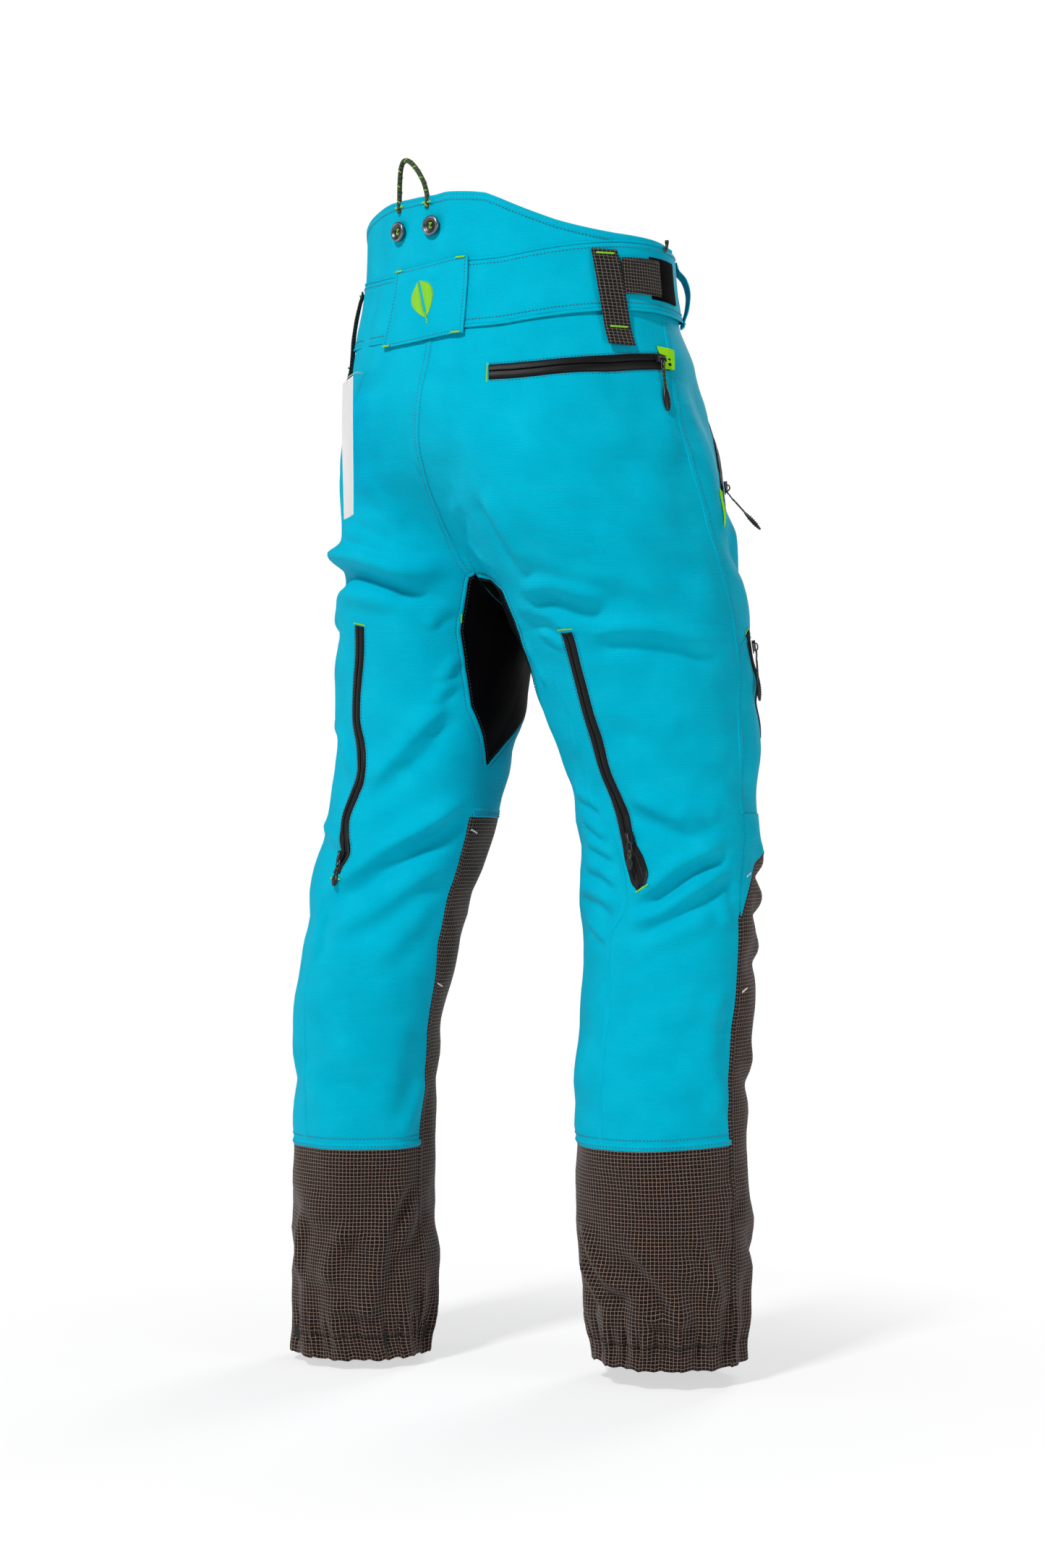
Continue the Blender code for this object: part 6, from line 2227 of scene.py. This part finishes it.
def button_thread(top, axes, off):
    """Thread through four holes, off from the middle each way."""
    x, y, z = axes
    held = bag("button_thread", LIME_THREAD, "waist")
    for sign in (-1, 1):
        for aside in (-0.00045, 0.00045):
            row = y * (sign * off + aside)
            long_stitch(held, top - x * off + row, top + x * off + row, z, 0.00042)
    long_stitch(held, top - x * off * 0.9 - y * off + z * 0.0004,
                top + x * off * 0.9 + y * off + z * 0.0004, z, 0.00042)
    for i in (-1, 1):
        for j in (-1, 1):
            hole = top + x * i * off + y * j * off
            bag("button_holes", BLACK_THREAD, "waist").add(
                *tube([hole - z * 0.0006, hole + z * 0.0001], 0.0008, 10)[:2])


button("brace_button_right", 5.5, 1.137, lift=0.0012, radius=0.0100)
button("brace_button_left", -13.5, 1.137, lift=0.0012, radius=0.0100)
button("waist_button", 180.0, 1.092, lift=0.0022, radius=0.0085, with_thread=False)


# ------------------------------------------------------------- cord loop
LOOP_FEET = (-14.0, 2.5)           # theta
LOOP_FLECK_PITCH = 0.0075


def cord_loop():
    """Round-topped loop of braided cord, leaning to the left."""
    shift = outward(torso(-7.0, 1.16)) * -0.0013
    feet, tops = [], []
    for theta, z in zip(LOOP_FEET, (1.171, 1.168)):
        foot = torso(theta, z)
        foot[2] = float(top_edge(theta)) - 0.012
        feet.append(foot)
        tops.append(foot + np.array((0, 0, 0.0128)))
    points = [feet[0] + shift, tops[0] + shift]
    for share in np.linspace(0, 1, 19)[1:-1]:
        lean = share - 0.28 * math.sin(math.pi * share)
        points.append(tops[0] + (tops[1] - tops[0]) * lean + shift
                      + np.array((0, 0, 0.0385 * math.sin(math.pi * share) ** 0.66)))
    points += [tops[1] + shift, feet[1] + shift]
    line = resample(np.array(points), 0.0012)
    points, faces, uv = tube(line, 0.0025, 12)
    piece("cord_loop_braid", points, faces, CORD, "waist", uv=uv, slot="cord",
          replaces=("back_cord_loop",))
    # lime picks winding round the cord
    held = bag("cord_flecks", LIME_THREAD, "waist")
    along = lengths(line)
    tangents = unit(np.gradient(line, axis=0))
    ref = outward(torso(-7.0, 1.16))
    for k in range(int(along[-1] / LOOP_FLECK_PITCH)):
        where = (k + 0.6) * LOOP_FLECK_PITCH
        middle, tangent = sample(where, along, line), sample(where, along, tangents)
        x = unit(np.cross(tangent, ref))
        y = np.cross(x, tangent)
        phase = 0.0 if k % 2 else math.pi
        pick = []
        for angle in np.linspace(-1.1, 1.1, 7):
            around_cord = angle + phase + math.pi / 2
            pick.append(middle + (x * math.cos(around_cord) + y * math.sin(around_cord)) * 0.00255
                        + tangent * angle * 0.0016)
        held.add(*tube(pick, 0.00048, 6)[:2])
    for theta in LOOP_FEET:
        waist_tack(theta, float(top_edge(theta)) - 0.006, 0.0012, length=0.0130, width=0.0019,
                   lift=0.0002)


cord_loop()


# ------------------------------------------------------------ belt loops
STRAP_HALF = 4.3         # half width of a belt loop, degrees
STRAP_THICK = 0.0022
STRAP_CELLS = 8          # cells across
STRAP_BROWN = cloth_ripstop("strap_ripstop", base=linear(24, 20, 20), dark=linear(15, 13, 13),
                            line=linear(116, 108, 101), cell=0.0033)


def strap(name, middle, line, mat, slot, replaces, lean=0.0):
    """Flat strap running up the waist: line is [(height, distance off the cloth), ...]."""
    path = resample([(z, up, 0.0) for z, up in line], 0.0015)
    theta = np.linspace(middle - STRAP_HALF, middle + STRAP_HALF, STRAP_CELLS + 1)
    theta, z = np.meshgrid(theta, path[:, 0])
    theta = theta + lean * (1 - (z - z.min()) / (z.max() - z.min())) - lean * 0.25
    points, normals = around(theta, z, np.broadcast_to(path[:, 1][:, None], theta.shape))
    # offset along the strap's own normal for its thickness
    upward = unit(np.gradient(points, axis=0), 1e-12)
    across = unit(np.gradient(points, axis=1), 1e-12)
    own = np.cross(across, upward)
    own *= np.sign((own * normals).sum())
    x = np.abs(np.linspace(-1, 1, STRAP_CELLS + 1))[None, :, None]
    offset = own * STRAP_THICK * (0.5 - 0.35 * x**8)
    along = lengths(points[:, (STRAP_CELLS + 1) // 2])
    u = (np.linspace(-STRAP_HALF, STRAP_HALF, STRAP_CELLS + 1) * 0.0024)[None]
    uv = np.stack([np.broadcast_to(u, theta.shape),
                   np.broadcast_to(along[:, None], theta.shape)], -1)
    slab(name, points + offset, points - offset, mat, "waist", uv=uv, sharp_after=50,
         slot=slot, replaces=replaces)


def back_belt_loop(side, word, theta, out):
    """Loop behind the hip; out stands its middle off a little more."""
    low = float(band_low(theta))
    top = float(band_top(theta)) - 0.008
    foot = low - 0.036
    strap(f"belt_loop_strap_{word}", theta,
          [(foot, 0.0060), (foot + 0.008, 0.0052), (low - 0.019, 0.0042),
           (low - 0.010, 0.0046), (low + 0.012, 0.0062 + out), (low + 0.030, 0.0066 + out),
           (top - 0.012, 0.0058 + out * 0.5), (top - 0.004, 0.0044), (top, 0.0042)],
          STRAP_BROWN, "webbing", (f"belt_loop_back_{word}",), lean=-3.2 * side)
    for z, shift in ((top - 0.004, -0.8), (low - 0.0185, 1.8)):
        waist_tack(theta - shift * side, z, 0.0056, length=0.0185, width=0.0020, lift=0.0001)


def front_belt_loop(side, word):
    theta = -122.0 * side
    low = float(band_low(theta))
    top = float(band_top(theta)) - 0.008
    strap(f"belt_loop_front_strap_{word}", theta,
          [(low - 0.006, 0.0038), (low - 0.001, 0.0048), (low + 0.010, 0.0105),
           (low + 0.026, 0.0145), (low + 0.040, 0.0125), (top - 0.008, 0.0058),
           (top, 0.0040)], CYAN, "stretch_cloth", (f"belt_loop_front_{word}",))
    for z in (top - 0.003, low - 0.003):
        waist_tack(theta, z, 0.0058, length=0.0150, width=0.0018, lift=0.0)


for side, word, theta, out in ((-1, "right", 71.0, 0.0), (1, "left", -61.0, 0.0008)):
    back_belt_loop(side, word, theta, out)
    front_belt_loop(side, word)


# ------------------------------------------------------------ waist tabs
HOOK_TAPE = hook_tape("hook_tape")


def tab_low(theta):
    return band_low(theta) + 0.014


def tab_high(theta):
    return band_low(theta) + 0.050


def waist_tab(word, side, ends, hook_ends, anchor_ends):
    """Adjuster tab at the hip; each pair of ends is a range of theta."""
    body = f"waist_tab_{word}"
    belt(f"waist_tab_strap_{word}", ends, tab_low, tab_high, (40, 14), up=0.0056,
         thick=0.0018, mat=STRAP_BROWN, body=body, slot="webbing", replaces=(body,))
    theta = np.linspace(ends[0] + 1.2, ends[1] - 1.2, 40)
    for z_of in (lambda t: tab_low(t) + 0.0030, lambda t: tab_high(t) - 0.0030):
        stitch_row(side, *belt_line(theta, z_of, 0.0056), lift=0.0, zone=body, fitted=False,
                   group="tab")
    # hook patch sewn to the waistband, where the tab closes
    belt(f"hook_patch_{word}", hook_ends, lambda t: band_low(t) + 0.011,
         lambda t: band_low(t) + 0.053, (40, 16), up=0.0032, thick=0.0010, mat=HOOK_TAPE,
         slot="black_laminate")
    # short anchor strip beside the belt loop
    belt(f"tab_anchor_{word}", anchor_ends, tab_low, tab_high, (24, 10), up=0.0030,
         thick=0.0010, mat=STRAP_BROWN, slot="webbing")


waist_tab("right", -1, ends=(75.9, 91.0), hook_ends=(87.0, 102.0), anchor_ends=(70.0, 75.7))
waist_tab("left", 1, ends=(-91.0, -75.9), hook_ends=(-102.0, -87.0),
          anchor_ends=(-75.7, -69.0))


def drawcord():
    """Drawcord end above the right hip."""
    at, out = around(96.0, float(band_top(96.0)) - 0.004, 0.0026)
    path = [at + out * 0.0004, at + out * 0.0020 + np.array((0, 0, 0.0035)),
            at + out * 0.0026 + np.array((0, 0, 0.0065)),
            at + out * 0.0030 + np.array((0.0004, 0, 0.0090))]
    points, faces, uv = tube(resample(path, 0.0010), 0.0017, 10)
    piece("drawcord_end", points, faces, CORD, "waist", uv=uv, slot="cord")
    points, faces, uv = tube([path[-1] + np.array((0, 0, -0.0012)),
                              path[-1] + np.array((0, 0, 0.0018))], 0.0020, 12)
    piece("drawcord_tip", points, faces, PLASTIC, "waist", uv=uv, slot="cord")


drawcord()


# -------------------------------------------------- lime linings on show
def flap(name, corners, up):
    """Small piece of lime cloth between four corner points, laid on the right side."""
    n = 10
    u, v = np.meshgrid(np.linspace(0, 1, n), np.linspace(0, 1, n))
    weights = ((1 - u) * (1 - v), u * (1 - v), u * v, (1 - u) * v)
    spots = sum(weight[..., None] * corner for weight, corner in zip(weights, corners))
    points, normals = skin(spots.reshape(-1, 3), -1)
    crumple = (np.sin(u * 6 + 1) * np.sin(v * 5) * 0.0004 + up).reshape(-1, 1)
    top = points + normals * crumple
    under = points + normals * (crumple - 0.0009)
    grid = quads(n, n)
    count = n * n
    faces = grid.tolist() + (grid[:, ::-1] + count).tolist()
    rim = (list(range(n)) + [i * n + n - 1 for i in range(1, n)]
           + [(n - 1) * n + i for i in range(n - 2, -1, -1)]
           + [i * n for i in range(n - 2, 0, -1)])
    for a, b in zip(rim, rim[1:] + rim[:1]):
        faces.append((a, b, b + count, a + count))
    uv = np.stack([u.ravel() * 0.02, v.ravel() * 0.02], -1)
    face_out(piece(name, np.concatenate([top, under]), faces, LIME_CLOTH, "waist",
                   uv=np.concatenate([uv, uv]), slot="lining"), 60)


flap("hip_pocket_lining", [torso(88.0, 0.9925), torso(92.6, 0.9930), torso(94.4, 1.0135),
                           torso(86.6, 1.0150)], up=0.0026)
flap("hand_pocket_lining", [leg(-1, 110.0, 0.842), leg(-1, 117.5, 0.868),
                            leg(-1, 119.0, 0.876), leg(-1, 112.0, 0.880)], up=0.0014)

# white tacks on the brown panels: side, phi, z
for side, phi, z in ((1, 263.0, 0.542), (1, 254.0, 0.386), (-1, 100.0, 0.500),
                     (-1, 99.0, 0.386)):
    tack_at, tack_normal = HALF[side].line(phi, z)
    beside = HALF[side].at(phi + 4.0, z + 0.002)
    bar_tack(tack_at, beside - tack_at, tack_normal, length=0.0110, width=0.0018,
             zone=KNEE_ZONE[side], lift=0.0006, group="white_tacks", mat=WHITE_THREAD)


# ------------------------------------------------------------- swing tag
TAG_WIDTH, TAG_LENGTH, TAG_THICK = 0.055, 0.136, 0.0008
TAG_TOP = np.array((0.0722, 0.1656, 0.992))
TAG_FACING = np.array((math.sin(math.radians(40.0)), math.cos(math.radians(40.0)), 0.0))


def swing_tag():
    """Card hanging behind the left of the seat, slightly curled and turned, on a string."""
    way = np.array((0.0, 0.0, -1.0))
    across = np.cross(way, TAG_FACING)
    u, v = np.meshgrid(np.linspace(-0.5, 0.5, 13), np.linspace(0, 1, 31))
    curl = 0.0010 * np.sin(v * 2.2) * (u * 2) ** 2 + 0.0008 * np.sin(v * 4.0 + 1.0)
    turned_by = np.radians(5.6 + 1.2 * np.sin(v * 3.0 + 0.5))
    cos, sin = np.cos(turned_by)[..., None], np.sin(turned_by)[..., None]
    wide = across * cos + TAG_FACING * sin
    out = TAG_FACING * cos - across * sin
    base = (TAG_TOP + wide * (u * TAG_WIDTH)[..., None]
            + way * (v * TAG_LENGTH + 0.001)[..., None])
    outer = base + out * (curl + TAG_THICK / 2)[..., None]
    inner = base + out * (curl - TAG_THICK / 2)[..., None]
    card = slab("swing_tag_card", outer, inner, CARD, "swing_tag", slot="card",
                replaces=("swing_tag",), sharp=40)
    card.visible_shadow = False
    # string from the tag to the seat
    (seat,), (normal,) = skin(TAG_TOP + np.array((-0.002, -0.02, 0.006)), 1)
    path = [TAG_TOP + way * 0.006 + TAG_FACING * 0.0008, TAG_TOP + TAG_FACING * 0.0016,
            TAG_TOP * 0.5 + seat * 0.5 + np.array((0, 0, 0.004)), seat + normal * 0.0008]
    points, faces, uv = tube(resample(path, 0.0012), 0.0005, 6)
    piece("swing_tag_string", points, faces, WHITE_THREAD, "waist", uv=uv, slot="card")


swing_tag()
empty_bags()


# ------------------------------------------------- pads and bags, inside
INSIDE_OFF = -0.0068      # pocket bags, from the cloth
QUILT_CELL = 0.040


def padded(name, side, start_of, end_of, z_ends, off, thick, mat, body, replaces, quilt=0.0):
    """Flat soft piece lying inside the cloth, its edges thinned; quilt makes a stitched
    diamond pattern. start_of and end_of give its phi at a height."""
    half = HALF[side]
    z0, z1 = z_ends
    z = np.linspace(z0, z1, int((z1 - z0) / 0.005) + 1)
    start, end = (np.broadcast_to(limit(z), z.shape)[:, None] for limit in (start_of, end_of))
    share = np.linspace(0, 1, 56)[None]
    phi = start + (end - start) * share
    z = np.broadcast_to(z[:, None], phi.shape)
    points, normals = half.line(phi, z)
    wide = np.linalg.norm(np.diff(points, axis=1), axis=-1).sum(1).mean()
    u = share * wide + 0 * z
    rim = np.minimum(np.minimum(u, wide - u), np.minimum(z - z0, z1 - z))
    soft = 0.30 + 0.70 * smooth(0.0, 0.010, rim)
    seam_gap = np.minimum(np.abs(np.sin(np.pi * (u + z) / QUILT_CELL)),
                          np.abs(np.sin(np.pi * (u - z) / QUILT_CELL)))
    puff = quilt * (1 - np.exp(-seam_gap / 0.22)) * soft
    outer = off - thick * (1 - soft) * 0.5 - quilt + puff
    inner = off - thick + thick * (1 - soft) * 0.4 + quilt - puff
    slab(name, points + normals * outer[..., None], points + normals * inner[..., None], mat,
         body, uv=np.stack([u, z], -1), sharp_after=60, slot="lining", replaces=replaces)


def saw_pad(name, side, z_ends, body, replaces):
    half = HALF[side]
    padded(name, side, lambda z: np.interp(z, ROW_Z, half.side_seam) + 6.0,
           lambda z: np.interp(z, ROW_Z, half.front_edge) - 14.0, z_ends, -0.0075, 0.0056, PAD,
           body, replaces, quilt=0.0011)


def pocket_bag(name, side, phi_ends, z_ends, body, replaces):
    padded(name, side, lambda z: phi_ends[0], lambda z: phi_ends[1], z_ends, INSIDE_OFF,
           0.0014, POCKET_MESH, body, replaces)


for side, word in SIDES:
    saw_pad(f"saw_pad_thigh_quilt_{word}", side, (0.505, 0.745), HIP_ZONE[side],
            (f"saw_pad_thigh_{word}",))
    saw_pad(f"saw_pad_shin_quilt_{word}", side, (0.090, 0.372), f"shin_{word}",
            (f"saw_pad_shin_{word}",))
    pocket_bag(f"hand_pocket_bag_cloth_{word}", side, (112.0, 168.0), (0.790, 0.985),
               HIP_ZONE[side], (f"hand_pocket_bag_{word}",))
pocket_bag("hip_pocket_bag_cloth", -1, (24.0, 84.0), (0.850, 0.985), "waist",
           ("hip_pocket_bag",))


# -------------------------------------------------- floor, light, camera
def white_floor():
    m = Mat("floor_white", rough=0.9, spec=0.1)
    place = m.obj()
    m.set("Base Color", m.mix(m.times(m.noise(place, scale=3.0), 0.06), grey(0.92), grey(0.88)))
    # seen from the camera it fades into the white backdrop away from the feet
    x, y, _ = m.split(place)
    far = m.math("SQRT", m.math("ADD", m.times(x, x), m.times(y, y)))
    fade = m.map_range(far, start=0.25, end=0.75, low=0.62, high=1.0)
    amount = m.times(fade, m.node("LightPath").outputs["Is Camera Ray"])
    glow = m.node("Emission")
    glow.inputs["Color"].default_value = grey(1)
    glow.inputs["Strength"].default_value = 1.0
    both = m.node("MixShader")
    m.put(both.inputs[0], amount)
    m.put(both.inputs[1], m.shader.outputs[0])
    m.put(both.inputs[2], glow.outputs[0])
    m.put(m.tree.nodes["Material Output"].inputs["Surface"], both.outputs[0])
    return m.material


def add_floor():
    mat = white_floor()
    mesh = bpy.data.meshes.new("floor")
    reach, z = 14.0, -0.0025
    mesh.from_pydata([(-reach, -reach, z), (reach, -reach, z), (reach, reach, z),
                      (-reach, reach, z)], [], [(0, 1, 2, 3)])
    floor = bpy.data.objects.new("floor", mesh)
    mesh.materials.append(mat)
    bpy.context.scene.collection.objects.link(floor)


def add_world():
    """White to the camera, dim as a light."""
    world = bpy.data.worlds.new("studio")
    world.use_nodes = True
    tree = world.node_tree
    background = tree.nodes["Background"]
    background.inputs[0].default_value = (1.0, 1.0, 1.0, 1)
    path = tree.nodes.new("ShaderNodeLightPath")
    level = tree.nodes.new("ShaderNodeMapRange")
    tree.links.new(path.outputs["Is Camera Ray"], level.inputs[0])
    level.inputs["To Min"].default_value = 0.19
    level.inputs["To Max"].default_value = 1.0
    tree.links.new(level.outputs[0], background.inputs[1])
    bpy.context.scene.world = world
    bpy.context.scene.view_settings.view_transform = "Standard"


# name, place, width and height, power in watts
LIGHTS = [
    ("key", (-0.9, 4.6, 5.4), (0.75, 0.75), 362),
    ("side_left", (2.6, 2.2, 0.9), (0.8, 1.6), 21),
    ("side_right", (-3.2, -0.2, 0.9), (0.8, 1.6), 22),
    ("front", (0.8, -3.2, 2.6), (1.2, 1.2), 60),
]
LIGHT_TARGET = Vector((0, 0, 0.62))


def add_light(name, place, size, power):
    light = bpy.data.lights.new(name, "AREA")
    light.shape = "RECTANGLE"
    light.size, light.size_y = size
    light.energy = power
    light.color = (1, 1, 1)
    lamp = bpy.data.objects.new(name, light)
    lamp.location = place
    lamp.rotation_euler = (LIGHT_TARGET - Vector(place)).to_track_quat("-Z", "Y").to_euler()
    bpy.context.scene.collection.objects.link(lamp)


def add_camera():
    """Level view from behind, to the right."""
    lens = bpy.data.cameras.new("camera")
    lens.sensor_fit = "VERTICAL"
    lens.sensor_height = 36.0
    lens.sensor_width = 36.0
    lens.lens = 67.75
    lens.shift_x = 0.0039
    camera = bpy.data.objects.new("camera", lens)
    camera.location = (-2.046, 2.193, 0.59)
    camera.rotation_euler = (math.radians(90), 0, math.radians(-137.0))
    bpy.context.scene.collection.objects.link(camera)
    bpy.context.scene.camera = camera


add_floor()
add_world()
for light in LIGHTS:
    add_light(*light)
add_camera()


# ------------------------------------ frame parts that keep their own shape
NAMED_PARTS = {"waist_button": GUNMETAL, "brace_button_right": GUNMETAL,
               "brace_button_left": GUNMETAL, "swing_tag": CARD, "back_cord_loop": CORD}


def frame_material(name):
    if name in NAMED_PARTS:
        return NAMED_PARTS[name]
    if name.endswith("_slider"):
        return DARK_METAL
    if name.endswith("_pull"):
        return PLASTIC
    for word, mat in (("zip_tape", ZIP_TAPE), ("saw_pad", PAD), ("bag", POCKET_MESH),
                      ("belt_loop_front", CYAN)):
        if word in name:
            return mat
    return WEBBING


for name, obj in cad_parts.items():
    if not obj.hide_render:
        obj.data.materials.clear()
        obj.data.materials.append(frame_material(name))
